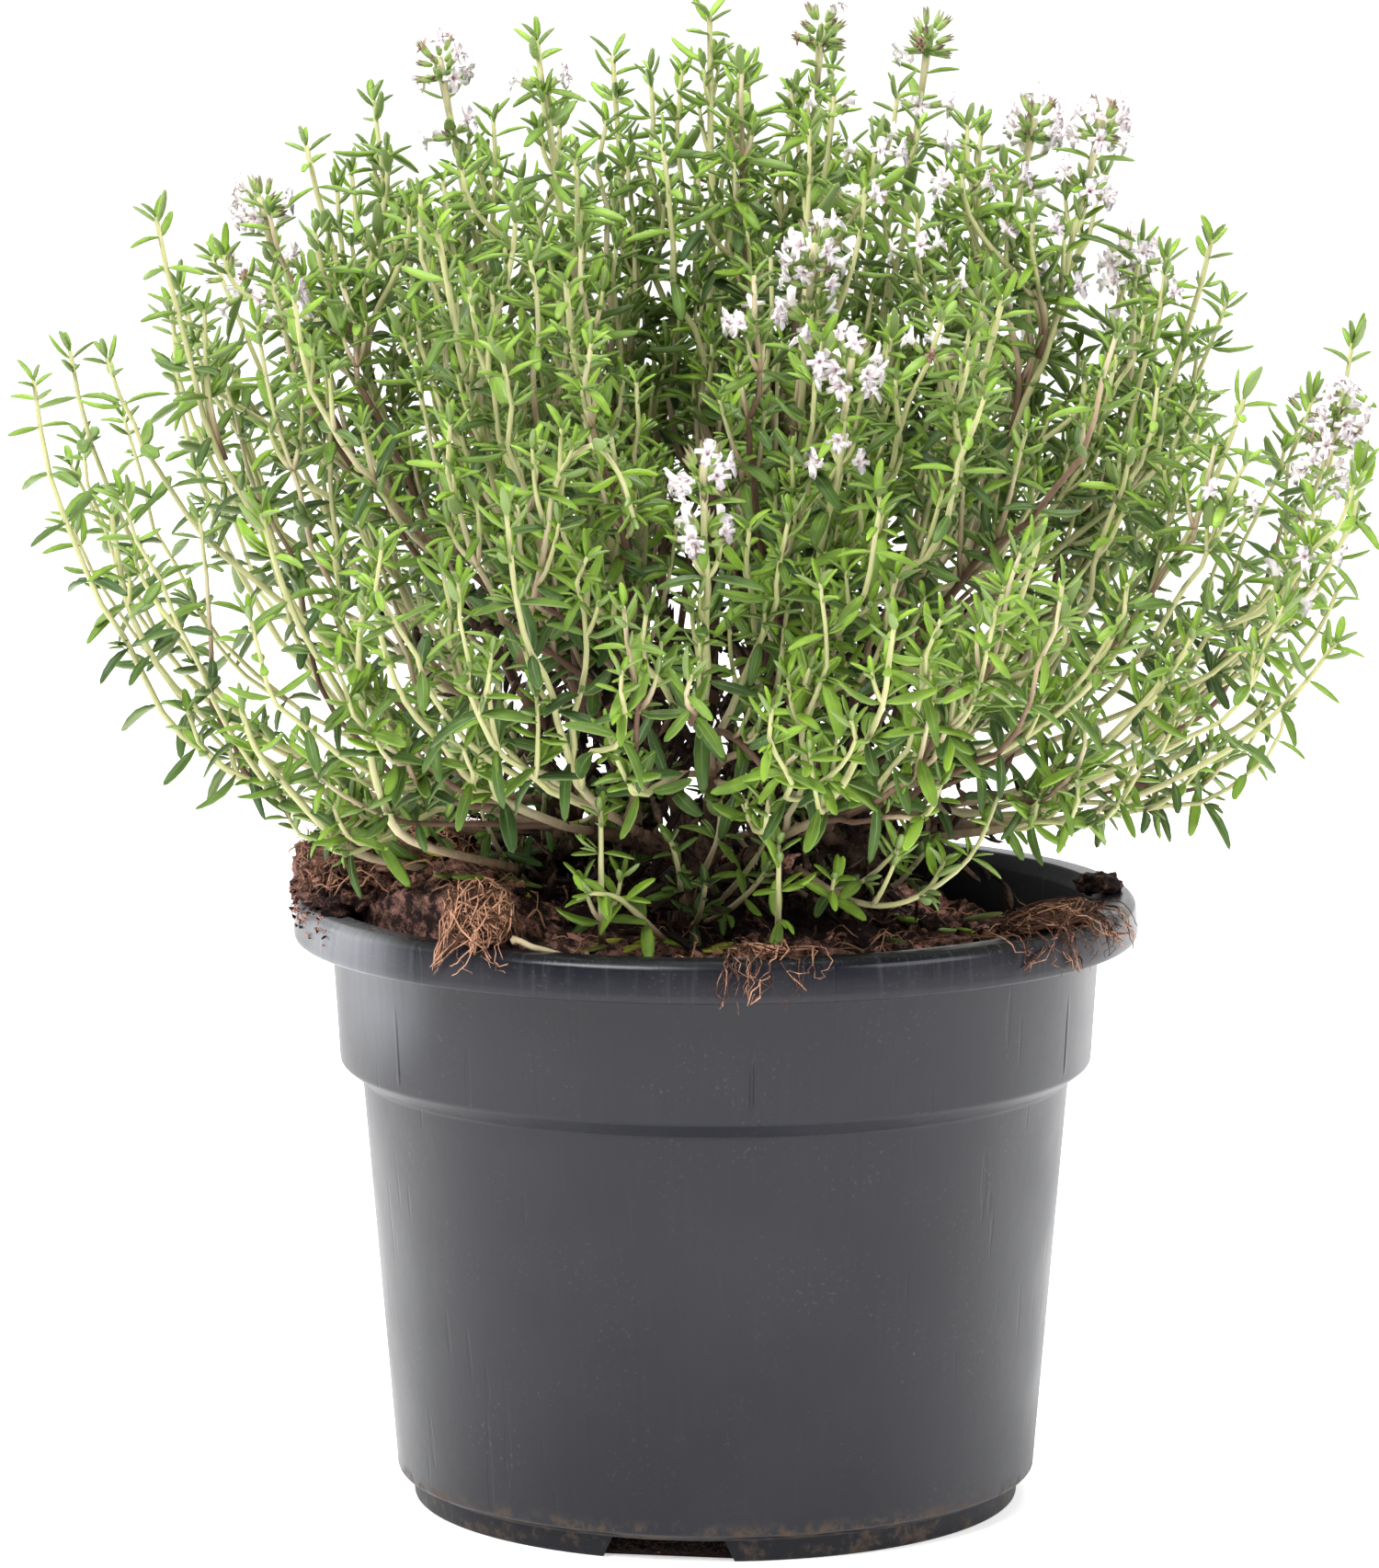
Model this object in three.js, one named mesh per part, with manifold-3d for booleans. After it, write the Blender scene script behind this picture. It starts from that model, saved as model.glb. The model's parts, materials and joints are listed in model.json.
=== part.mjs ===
// Potted common thyme: a bush of several thyme plants in a round plastic nursery pot.
// Millimetres, +Z up. The origin is on the pot's axis, in the plane that the pot stands on.
// The viewer of the photograph looks along +Y, with +X to the right.
import * as THREE from 'three';
import { mergeVertices } from 'three/addons/utils/BufferGeometryUtils.js';
import Module from 'manifold-3d';

const wasm = await Module();
wasm.setup();

const clearance = 0.3; // between pieces that touch
const finest = 0.01; // edges shorter than this are closed up where pieces are joined

// Sizes called radius, top or foot are measured on the outside of the wall.
const pot = {
  height: 94,
  rimRadius: 65,
  lipWidth: 5,
  lipDrop: 6.3,
  lipWall: 1.5,
  lipChamfer: 1.2,
  lipSlope: 1.8, // how far the lip rolls down inside
  skirtInset: 0.5,
  collarTop: 59.4,
  collarFoot: 58,
  ledgeTop: 68.6,
  ledgeFoot: 66,
  ledgeInside: 0.4, // how much higher the step lies on the inside of the wall
  wallTop: 54.6,
  wallFoot: 49.4,
  wallFootHeight: 4.5,
  wall: 1.3,
  footRadius: 46.8,
  footWidth: 2.6,
  footSlope: 0.3,
  footHeight: 3.6,
  baseUnderside: 2.6,
  baseThickness: 1.4,
  segments: 32,
  notches: 3,
  notchAngle: -99, // degrees, the notch that faces the viewer
  notchWidth: 18,
  drainHoles: 6,
  drainRadius: 4,
  drainCircle: 34,
  drainDepth: 10,
  drainSides: 8,
};

const peat = {
  level: 90.8, // height of the surface at the front
  crown: { height: 2.5, span: 30 }, // the rise round the trunks
  lumps: { height: 0.7, rateX: 0.31, rateY: 0.27, start: 1.2 },
  rings: [0, 16, 31, 45, 57.4],
  ledgeRoom: 1.2, // how far above the pot's step the filling widens
  hump: { x: -46, y: 4, height: 10, spanX: 17, spanY: 26 },
  hollow: { x: 40, y: 26, depth: 9, spanX: 22, spanY: 22 },
  heap: { x: -50.3, y: 4, z: 95.5, sizeX: 15, sizeY: 27, sizeZ: 8.5 }, // over the lip
  heapSides: 10,
  heapRings: 6,
};

const trunk = {
  foot: 84, // how deep the trunks stand in the peat
  fork: 103,
  footRadius: 2.4,
  forkRadius: 1.7,
  sides: 6,
  holeHeight: 40, // of the room that is cut for it in the peat
  branchRadius: 1.2,
  branchRings: [[0, 0], [0.2, 1.25], [0.6, 1.1], [1, 1]], // places and shares of its radius
  branchTop: 102, // where the highest branch starts
  branchSpread: 7, // how far below it the lowest one starts
  branchLead: 0.4, // how far a branch runs straight into its stem, as a share of its length
};

const stem = {
  footRadius: 0.9,
  tipRadius: 0.6,
  steps: 4,
  footShare: 0.36, // how far out a stem starts, as a share of its tip's distance from the axis
  innerFoot: 127,
  outerFoot: 101,
  footFall: 1.5, // how late the feet drop to the outermost ones
  leastBow: 0.04,
  mostBow: 0.38,
  reach: 105, // the distance of the outermost tips
  roomSteps: 10, // straight lines that stand for a stem where others keep clear of it
  pairs: [[0.42, 0.3], [0.68, 0.4], [0.86, 0.55], [0.98, 0.85]], // of leaves: place and rise
};

const leaf = {
  length: 8.8,
  width: 3,
  thickness: 1.1,
  droop: 0.8,
  sunk: 0.15,
  outline: [[0, 0], [0.36, 1], [1, 0]], // places along the leaf and shares of its width
  room: 1.26, // kept free round its middle line
  roomStart: 0.25,
  tries: [[0, 0], [0, 0.3], [0, -0.3], [0.5, 0.1], [-0.5, 0.1]], // turns and lifts, in radians
};

const shoot = {
  lengths: [13.5, 19.5],
  places: [0.5, 0.64], // along the stem
  radius: 0.55,
  room: 1.15,
  roomSteps: 3,
  elbow: { out: 0.36, on: 0.34 }, // shares of its length, away from the stem and along it
  end: { out: 0.12, on: 0.55 }, // the same, on from the elbow
  pair: { place: 0.95, rise: 0.85, size: 0.9 }, // its leaves
  rings: [[0, 0], [0.07, 1], [0.6, 0.9], [1, 0.8]], // places along it and shares of its radius
};

const bloom = {
  core: 2.6,
  neck: 0.6, // the stalk that shows below the core
  floretReach: 4.6,
  floretSize: 2.3,
  floretDepth: 2.4,
  lobes: 4,
  drawnIn: 0.5,
  stalkRadius: 0.6,
  florets: [[1, Math.PI / 2], [4, 0.6], [4, -0.2]], // how many in each ring, and how steep
  room: 5.4, // kept free of leaves round its middle
  middle: 3,
};

const looks = {
  pot: { color: 0x3c3d41, roughness: 0.45, metalness: 0 },
  peat: { color: 0x3a241a, roughness: 0.95, metalness: 0 },
  root: { color: 0x8a5233, roughness: 0.9, metalness: 0 },
  bark: { color: 0x5b4032, roughness: 0.85, metalness: 0 },
  leaf: { color: 0x4f8030, roughness: 0.65, metalness: 0 },
  petal: { color: 0xf1e9ee, roughness: 0.6, metalness: 0 },
};

const seeds = { heads: 500, stems: 100 };

// Loose roots on the rim: a clump, with strands that lie over the lip and hang outside it.
// Places are by their bearing in degrees from +X and their distance from the pot's axis. Each
// strand has its bearing, the height of its end and how many degrees it drifts on the way.
const rootTangles = [
  {
    name: 'root_tangle_left',
    clump: { bearing: 234.5, reach: 60.6, z: 98.8, size: [4.6, 5.8, 5.8] },
    strands: [[227.5, 91.5, 6], [231, 89.5, -4], [236, 91, 4], [241, 91, -6]],
  },
  {
    name: 'root_tuft_front',
    clump: { bearing: 277, reach: 60, z: 95.2, size: [4, 3.4, 1.9] },
    strands: [[272.5, 89.5, 5], [276, 86.5, -4], [279, 87.5, 5], [282.5, 90, -5]],
  },
  {
    name: 'root_tuft_right',
    clump: { bearing: 339, reach: 60.5, z: 96, size: [4.6, 8.5, 3.4] },
    strands: [[318, 88, 24], [326, 90, 16], [334, 87.5, 8], [343, 89.5, -6]],
  },
];

const strand = {
  radius: 0.5,
  onLip: 63.2,
  outside: 66.6,
  gather: 0.4, // how near its start lies to its own bearing
  bend: 1.5, // how far below the lip's top it turns down
  rings: [[0, 0], [0.2, 1], [0.45, 1], [0.6, 1], [1, 0.8]], // places and shares of its radius
};

// The plants' trunks, where they stand in the peat.
const plants = {
  left: [-26, -4],
  front: [-4, -21],
  right: [21, -13],
  back_right: [18, 19],
  back_left: [-15, 21],
};

// The tips of the stems, by plant, each with the stem's own side shoots and pairs of leaves.
// A stem with petals ends in a flower head.
const stems = [
  { plant: 'left', tip: [-101, -34, 176] },
  { plant: 'left', tip: [-98, -6, 178] },
  { plant: 'left', tip: [-84, -16, 199] },
  { plant: 'left', tip: [-66, -59, 159] },
  { plant: 'left', tip: [-62, -5, 209] },
  { plant: 'left', tip: [-41, -43, 199] },
  { plant: 'left', tip: [-27, -9, 225] },
  { plant: 'left', tip: [-68, -38, 124] },
  { plant: 'front', tip: [-49, -72, 146] },
  { plant: 'front', tip: [-30, -82, 162] },
  { plant: 'front', tip: [-22, -52, 192] },
  { plant: 'front', tip: [-2, -71, 164], petals: true },
  { plant: 'front', tip: [19, -57, 178], petals: true },
  { plant: 'front', tip: [14, -36, 193], petals: true },
  { plant: 'front', tip: [25, -84, 146] },
  { plant: 'right', tip: [46, -69, 156] },
  { plant: 'right', tip: [70, -48, 140] },
  { plant: 'right', tip: [42, -36, 188] },
  { plant: 'right', tip: [79, -20, 172] },
  { plant: 'right', tip: [94, -12, 142] },
  { plant: 'right', tip: [95, 6, 165], petals: true },
  { plant: 'right', tip: [58, 4, 209], petals: true },
  { plant: 'back_right', tip: [100, 32, 176] },
  { plant: 'back_right', tip: [77, 22, 193] },
  { plant: 'back_right', tip: [65, 44, 186], petals: true },
  { plant: 'back_right', tip: [49, 28, 208], petals: true },
  { plant: 'back_right', tip: [33, 34, 221], petals: true },
  { plant: 'back_right', tip: [16, 15, 223], petals: true },
  { plant: 'back_right', tip: [64, 68, 150] },
  { plant: 'back_right', tip: [24, 85, 150] },
  { plant: 'back_right', tip: [14, 58, 194] },
  { plant: 'back_left', tip: [-1, 8, 228] },
  { plant: 'back_left', tip: [-16, 30, 221] },
  { plant: 'back_left', tip: [-42, 16, 218], petals: true },
  { plant: 'back_left', tip: [-70, 24, 196], petals: true },
  { plant: 'back_left', tip: [-86, 42, 172] },
  { plant: 'back_left', tip: [-58, 70, 150] },
  { plant: 'back_left', tip: [-22, 85, 148] },
  { plant: 'back_left', tip: [-24, 58, 190] },
];

// A seeded draw, so that every build gives the same plant.
function drawFrom(seed) {
  let state = seed;
  return (low, high) => {
    state = (state + 0x6d2b79f5) | 0;
    let mixed = Math.imul(state ^ (state >>> 15), 1 | state);
    mixed = (mixed + Math.imul(mixed ^ (mixed >>> 7), 61 | mixed)) ^ mixed;
    const share = ((mixed ^ (mixed >>> 14)) >>> 0) / 4294967296;
    return low + (high - low) * share;
  };
}

// Turns a closed geometry into a solid that can be joined and cut.
function solidOf(geometry) {
  const bare = geometry.clone();
  bare.deleteAttribute('normal');
  bare.deleteAttribute('uv');
  const merged = mergeVertices(bare, 1e-4);
  const corners = merged.index.array;
  const triangles = [];
  for (let i = 0; i < corners.length; i += 3) {
    const [a, b, c] = [corners[i], corners[i + 1], corners[i + 2]];
    if (a !== b && b !== c && c !== a) {
      triangles.push(a, b, c);
    }
  }
  return new wasm.Manifold(new wasm.Mesh({
    numProp: 3,
    vertProperties: merged.attributes.position.array,
    triVerts: Uint32Array.from(triangles),
    tolerance: finest,
  }));
}

function geometryOf(solid) {
  const mesh = solid.getMesh();
  const geometry = new THREE.BufferGeometry();
  geometry.setAttribute('position', new THREE.BufferAttribute(mesh.vertProperties, 3));
  geometry.setIndex(new THREE.BufferAttribute(mesh.triVerts, 1));
  geometry.computeVertexNormals();
  return geometry;
}

function joined(solids) {
  return solids.reduce((whole, next) => whole.add(next));
}

// Keeps the largest body of a solid, so that cutting leaves no scrap.
function largestBody(solid) {
  const bodies = solid.decompose();
  return bodies.reduce((most, body) => (body.volume() > most.volume() ? body : most));
}

// Moves every corner of a geometry to where place() puts it.
function reshape(geometry, place) {
  const position = geometry.attributes.position;
  const corner = new THREE.Vector3();
  for (let i = 0; i < position.count; i += 1) {
    place(corner.fromBufferAttribute(position, i));
    position.setXYZ(i, corner.x, corner.y, corner.z);
  }
  return geometry;
}

// A curve with the directions across it at every hundredth of its length.
function framed(curve) {
  return { curve, frames: curve.computeFrenetFrames(100) };
}

// The direction out of one of a four-sided rod's faces, or turned on from it by an angle.
function faceOut({ frames }, place, face, turn = 0) {
  const frame = Math.round(place * 100);
  const angle = Math.PI / 4 + (face * Math.PI) / 2 + turn;
  const out = frames.normals[frame].clone().multiplyScalar(Math.cos(angle));
  return out.addScaledVector(frames.binormals[frame], Math.sin(angle));
}

// A plan's rings, as places along a rod and the radius at each.
function ringsOf(shares, radius) {
  return shares.map(([place, share]) => [place, share * radius]);
}

// A rod along a curve: a cylinder whose rings are moved onto the curve. Each ring has its
// place along the curve, from 0 to 1, and its radius. A radius of 0 brings it to a point.
function rodAlong({ curve, frames }, rings, sides) {
  const last = rings.length - 1;
  const rod = new THREE.CylinderGeometry(1, 1, 1, sides, last);
  return reshape(rod, (corner) => {
    const [place, radius] = rings[Math.round((corner.y + 0.5) * last)];
    const frame = Math.round(place * 100);
    const { x, z } = corner;
    corner.copy(curve.getPointAt(place));
    corner.addScaledVector(frames.binormals[frame], x * radius);
    corner.addScaledVector(frames.normals[frame], z * radius);
  });
}

// A narrow leaf with a flat upper face and a keel below, from its foot at the origin.
// Its own axes are X up from the leaf and Y along it. Its section is a triangle, which at a
// radius of 1 is 1.5 deep and the root of 3 wide.
function leafBlade(length, width) {
  const blade = new THREE.CylinderGeometry(1, 1, 1, 3, 2);
  return reshape(blade, (corner) => {
    const [along, share] = leaf.outline[Math.round((corner.y + 0.5) * 2)];
    const { x, z } = corner;
    corner.x = -z * share * (leaf.thickness / 1.5) - leaf.droop * along ** 2;
    corner.y = along * length;
    corner.z = x * share * (width / Math.sqrt(3));
  });
}

// A floret that opens along +Y from its throat at the origin. Every other corner of its mouth
// is a lobe, and those between them are drawn in.
function floretTrumpet(size, depth) {
  const trumpet = new THREE.ConeGeometry(size, depth, bloom.lobes * 2, 1);
  return reshape(trumpet, (corner) => {
    const across = Math.hypot(corner.x, corner.z);
    const angle = Math.atan2(corner.z, corner.x);
    const isLobe = Math.round((angle * bloom.lobes) / Math.PI) % 2 === 0;
    const lobe = across > 0 && isLobe ? 1 : bloom.drawnIn;
    corner.set(corner.x * lobe, depth / 2 - corner.y, -corner.z * lobe);
  });
}

// Sets a piece's own X and Y axes along two directions and its origin at a point.
function placed(geometry, origin, along, upward) {
  const yAxis = along.clone().normalize();
  const zAxis = new THREE.Vector3().crossVectors(upward, yAxis).normalize();
  const xAxis = new THREE.Vector3().crossVectors(yAxis, zAxis);
  const turn = new THREE.Matrix4().makeBasis(xAxis, yAxis, zAxis).setPosition(origin);
  return geometry.applyMatrix4(turn);
}

// The pot is one closed profile turned about its axis, then cut for the foot and the drains.
function potProfile() {
  const inner = (radius) => radius - pot.wall;
  const footInner = pot.footRadius - pot.footWidth;
  const lipInner = pot.rimRadius - pot.lipWidth;
  const skirt = pot.rimRadius - pot.skirtInset;
  const underLip = pot.height - pot.lipWall;
  const baseTop = pot.baseUnderside + pot.baseThickness;
  return [
    [0, pot.baseUnderside],
    [footInner, pot.baseUnderside],
    [footInner, 0],
    [pot.footRadius, 0],
    [pot.footRadius + pot.footSlope, pot.footHeight],
    [pot.wallFoot, pot.wallFootHeight],
    [pot.wallTop, pot.ledgeFoot],
    [pot.collarFoot, pot.ledgeTop],
    [pot.collarTop, underLip],
    [skirt - pot.lipWall, underLip],
    [skirt - pot.lipWall, pot.height - pot.lipDrop],
    [skirt, pot.height - pot.lipDrop],
    [pot.rimRadius, pot.height - pot.lipChamfer],
    [pot.rimRadius - pot.lipChamfer, pot.height],
    [lipInner, pot.height],
    [inner(pot.collarTop), pot.height - pot.lipSlope],
    [inner(pot.collarFoot), pot.ledgeTop + pot.ledgeInside],
    [inner(pot.wallTop), pot.ledgeFoot + pot.ledgeInside],
    [inner(pot.wallFoot), baseTop],
    [0, baseTop],
  ].map(([radius, height]) => new THREE.Vector2(radius, height));
}

// Stands a geometry that is turned about the Y axis on the Z axis.
function upright(geometry) {
  return geometry.rotateX(Math.PI / 2);
}

function buildPot() {
  const shell = upright(new THREE.LatheGeometry(potProfile(), pot.segments));
  let body = solidOf(shell);
  for (let i = 0; i < pot.notches; i += 1) {
    const angle = THREE.MathUtils.degToRad(pot.notchAngle + (360 / pot.notches) * i);
    const notch = new THREE.BoxGeometry(pot.footWidth * 4, pot.notchWidth, pot.baseUnderside * 2);
    notch.translate(pot.footRadius, 0, 0);
    notch.rotateZ(angle);
    body = body.subtract(solidOf(notch));
  }
  for (let i = 0; i < pot.drainHoles; i += 1) {
    const angle = (Math.PI * 2 * (i + 0.5)) / pot.drainHoles;
    const { drainRadius, drainDepth, drainSides } = pot;
    const drain = new THREE.CylinderGeometry(drainRadius, drainRadius, drainDepth, drainSides);
    upright(drain).translate(pot.drainCircle, 0, 0).rotateZ(angle);
    body = body.subtract(solidOf(drain));
  }
  return body;
}

// A smooth hill of height 1, by how far a place lies from its middle.
function hill(x, y, spanX, spanY) {
  return Math.exp(-((x / spanX) ** 2) - (y / spanY) ** 2);
}

// Height of the peat's surface at a place.
function peatHeight(x, y) {
  const { hump, hollow, crown, lumps } = peat;
  const mound = hump.height * hill(x - hump.x, y - hump.y, hump.spanX, hump.spanY);
  const dip = hollow.depth * hill(x - hollow.x, y - hollow.y, hollow.spanX, hollow.spanY);
  const rise = crown.height * hill(x, y, crown.span, crown.span);
  const uneven = Math.sin(x * lumps.rateX + lumps.start) * Math.cos(y * lumps.rateY);
  return peat.level + mound - dip + rise + lumps.height * uneven;
}

// The room that the pot's rim takes up, with the clearance round it.
function rimRoom() {
  const inner = pot.collarTop - pot.wall - clearance;
  const outer = pot.rimRadius + clearance;
  const top = pot.height + clearance;
  const low = pot.ledgeTop;
  const section = [[inner, low], [outer, low], [outer, top], [inner, top], [inner, low]];
  const profile = section.map(([radius, height]) => new THREE.Vector2(radius, height));
  return solidOf(upright(new THREE.LatheGeometry(profile, pot.segments)));
}

function buildPeat() {
  const side = (radius) => radius - pot.wall - clearance;
  const floor = pot.baseUnderside + pot.baseThickness + clearance;
  const profile = [
    [0, floor],
    [side(pot.wallFoot), floor],
    [side(pot.wallTop), pot.ledgeFoot + peat.ledgeRoom],
    [side(pot.collarFoot), pot.ledgeTop + peat.ledgeRoom],
  ].concat([...peat.rings].reverse().map((radius) => [radius, peat.level]));
  const turned = new THREE.LatheGeometry(
    profile.map(([radius, height]) => new THREE.Vector2(radius, height)),
    pot.segments,
  );
  const filling = reshape(upright(turned), (corner) => {
    if (corner.z >= peat.level) {
      corner.z = peatHeight(corner.x, corner.y);
    }
  });
  const heap = new THREE.SphereGeometry(1, peat.heapSides, peat.heapRings);
  heap.scale(peat.heap.sizeX, peat.heap.sizeY, peat.heap.sizeZ);
  heap.translate(peat.heap.x, peat.heap.y, peat.heap.z);
  let body = solidOf(filling).add(solidOf(heap).subtract(rimRoom()));
  for (const [x, y] of Object.values(plants)) {
    const radius = trunk.footRadius + clearance;
    const hole = new THREE.CylinderGeometry(radius, radius, trunk.holeHeight, trunk.sides);
    upright(hole).translate(x, y, trunk.foot - clearance + trunk.holeHeight / 2);
    body = body.subtract(solidOf(hole));
  }
  return largestBody(body);
}

// A point by its bearing in degrees from +X and its distance from the pot's axis.
function pointAt(bearing, reach, z) {
  const angle = THREE.MathUtils.degToRad(bearing);
  return new THREE.Vector3(Math.cos(angle) * reach, Math.sin(angle) * reach, z);
}

// A root tangle is cut by the rim's room, so it sits on the lip.
function buildRoots({ clump, strands }) {
  const [depth, breadth, height] = clump.size;
  const lump = new THREE.IcosahedronGeometry(1, 0).scale(depth, breadth, height);
  lump.rotateZ(THREE.MathUtils.degToRad(clump.bearing));
  lump.translate(...pointAt(clump.bearing, clump.reach, clump.z));
  const parts = [solidOf(lump)];
  const onLip = pot.height + clearance + strand.radius;
  for (const [bearing, low, drift] of strands) {
    const start = THREE.MathUtils.lerp(clump.bearing, bearing, strand.gather);
    const line = framed(new THREE.CatmullRomCurve3([
      pointAt(start, clump.reach, clump.z),
      pointAt(bearing - drift / 5, strand.onLip, onLip),
      pointAt(bearing, strand.outside, pot.height - strand.bend),
      pointAt(bearing + drift / 4, strand.outside + clearance, low),
    ]));
    parts.push(solidOf(rodAlong(line, ringsOf(strand.rings, strand.radius), 3)));
  }
  return largestBody(joined(parts).subtract(rimRoom()));
}

// Where a stem starts and how it curves, from its tip alone. A stem that ends far out starts
// low and leaves the crown almost level, and one in the middle rises straight, so none cross.
function stemCurve({ tip }) {
  const { lerp } = THREE.MathUtils;
  const end = new THREE.Vector3(...tip);
  const spread = Math.min(Math.hypot(end.x, end.y) / stem.reach, 1);
  const foot = new THREE.Vector3(
    end.x * stem.footShare,
    end.y * stem.footShare,
    lerp(stem.innerFoot, stem.outerFoot, spread ** stem.footFall),
  );
  const bow = lerp(stem.leastBow, stem.mostBow, spread ** 2);
  const elbow = new THREE.Vector3(
    lerp(foot.x, end.x, 0.5 + bow),
    lerp(foot.y, end.y, 0.5 + bow),
    lerp(foot.z, end.z, 0.5 - bow),
  );
  return new THREE.QuadraticBezierCurve3(foot, elbow, end);
}

// A plant's woody part: its trunk and one branch to the foot of each of its stems.
function buildTrunk([x, y], curves) {
  const foot = new THREE.Vector3(x, y, trunk.foot);
  const fork = new THREE.Vector3(x, y, trunk.fork);
  const bole = framed(new THREE.LineCurve3(foot, fork));
  const boleRings = [[0, trunk.footRadius], [1, trunk.forkRadius]];
  const parts = [solidOf(rodAlong(bole, boleRings, trunk.sides))];
  curves.forEach((curve, i) => {
    const heading = curve.getTangentAt(0);
    const end = curve.getPointAt(0).addScaledVector(heading, -clearance);
    const start = fork.clone().setZ(trunk.branchTop - (trunk.branchSpread * i) / curves.length);
    const lead = start.distanceTo(end) * trunk.branchLead;
    const elbow = end.clone().addScaledVector(heading, -lead);
    const branch = framed(new THREE.QuadraticBezierCurve3(start, elbow, end));
    const rings = ringsOf(trunk.branchRings, trunk.branchRadius);
    parts.push(solidOf(rodAlong(branch, rings, 3)));
  });
  return largestBody(joined(parts));
}

// A line with a thickness, by which leaves and shoots are kept clear of other stems.
function ropeOf(owner, from, to, radius) {
  return { owner, line: new THREE.Line3(from, to), radius };
}

const ropes = [];

// The top of the rim or of the peat at a place, whichever is higher.
function groundAt({ x, y }) {
  if (Math.hypot(x, y) > pot.rimRadius + 1) {
    return 0;
  }
  const { heap } = peat;
  const inside = 1 - ((x - heap.x) / heap.sizeX) ** 2 - ((y - heap.y) / heap.sizeY) ** 2;
  const heapTop = heap.z + heap.sizeZ * Math.sqrt(Math.max(inside, 0));
  return Math.max(pot.height, peatHeight(x, y), inside > 0 ? heapTop : 0);
}

// Whether a line with a thickness keeps clear of the ground and of every other piece's ropes.
function isClear(owner, from, to, radius) {
  const least = radius + clearance;
  if (from.z - groundAt(from) < least || to.z - groundAt(to) < least) {
    return false;
  }
  const line = new THREE.Line3(from, to);
  const nearest = new THREE.Vector3();
  const other = new THREE.Vector3();
  return ropes.every((rope) => {
    if (rope.owner === owner) {
      return true;
    }
    const room = radius + rope.radius + clearance;
    return line.distanceSqToLine3(rope.line, nearest, other) > room * room;
  });
}

// Lays ropes along a curve, in straight steps.
function layRope(owner, curve, steps, radius) {
  for (let i = 0; i < steps; i += 1) {
    const from = curve.getPointAt(i / steps);
    ropes.push(ropeOf(owner, from, curve.getPointAt((i + 1) / steps), radius));
  }
}

// Adds a leaf to a stem, turned a little further round it for as long as it would cross
// another stem or its leaves. A leaf that finds no free place is left out.
function addLeaf(parts, owner, line, place, face, rise, size) {
  const point = line.curve.getPointAt(place);
  const tangent = line.curve.getTangentAt(place);
  for (const [turn, lift] of leaf.tries) {
    const away = faceOut(line, place, face, turn);
    const along = away.clone().multiplyScalar(Math.cos(rise + lift));
    along.addScaledVector(tangent, Math.sin(rise + lift));
    const foot = point.clone().addScaledVector(along, -leaf.sunk);
    const tip = point.clone().addScaledVector(along, leaf.length * size);
    const middle = point.clone().lerp(tip, leaf.roomStart);
    if (isClear(owner, middle, tip, leaf.room)) {
      const upward = tangent.clone().multiplyScalar(Math.cos(rise));
      upward.addScaledVector(away, -Math.sin(rise));
      const blade = leafBlade(leaf.length * size + leaf.sunk, leaf.width * size);
      parts.push(solidOf(placed(blade, foot, along, upward)));
      ropes.push(ropeOf(owner, middle, tip, leaf.room));
      return;
    }
  }
}

// Adds two leaves that face each other across a stem.
function addPair(parts, owner, line, place, face, rise, size) {
  addLeaf(parts, owner, line, place, face, rise, size);
  addLeaf(parts, owner, line, place, face + 2, rise, size);
}

// Adds a side shoot in a leaf's axil: it leaves the stem at a slant and turns up beside it.
function addShoot(parts, owner, line, place, face, length) {
  const point = line.curve.getPointAt(place);
  const tangent = line.curve.getTangentAt(place);
  for (const side of [face, face + 2, face + 1, face + 3]) {
    const away = faceOut(line, place, side);
    const elbow = point.clone().addScaledVector(away, length * shoot.elbow.out);
    elbow.addScaledVector(tangent, length * shoot.elbow.on);
    const end = elbow.clone().addScaledVector(tangent, length * shoot.end.on);
    end.addScaledVector(away, length * shoot.end.out);
    const isFree = isClear(owner, point, elbow, shoot.room)
      && isClear(owner, elbow, end, shoot.room);
    if (isFree) {
      const branch = framed(new THREE.QuadraticBezierCurve3(point, elbow, end));
      const { pair } = shoot;
      parts.push(solidOf(rodAlong(branch, ringsOf(shoot.rings, shoot.radius), 3)));
      layRope(owner, branch.curve, shoot.roomSteps, shoot.radius);
      addPair(parts, owner, branch, pair.place, side + 1, pair.rise, pair.size);
      return;
    }
  }
}

// A leafy stem: its rod, one side shoot and its pairs of leaves. Below a flower head the
// lowest pair is left out.
function buildStem(owner, line, petals, draw) {
  const rings = Array.from({ length: stem.steps + 1 }, (_, i) => {
    const place = i / stem.steps;
    return [place, THREE.MathUtils.lerp(stem.footRadius, stem.tipRadius, place)];
  });
  const parts = [solidOf(rodAlong(line, rings, 4))];
  const first = Math.floor(draw(0, 4));
  addShoot(parts, owner, line, draw(...shoot.places), first, draw(...shoot.lengths));
  const pairs = petals ? stem.pairs.slice(1) : stem.pairs;
  pairs.forEach(([place, rise], i) => addPair(parts, owner, line, place, first + i + 1, rise, 1));
  return largestBody(joined(parts));
}

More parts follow.
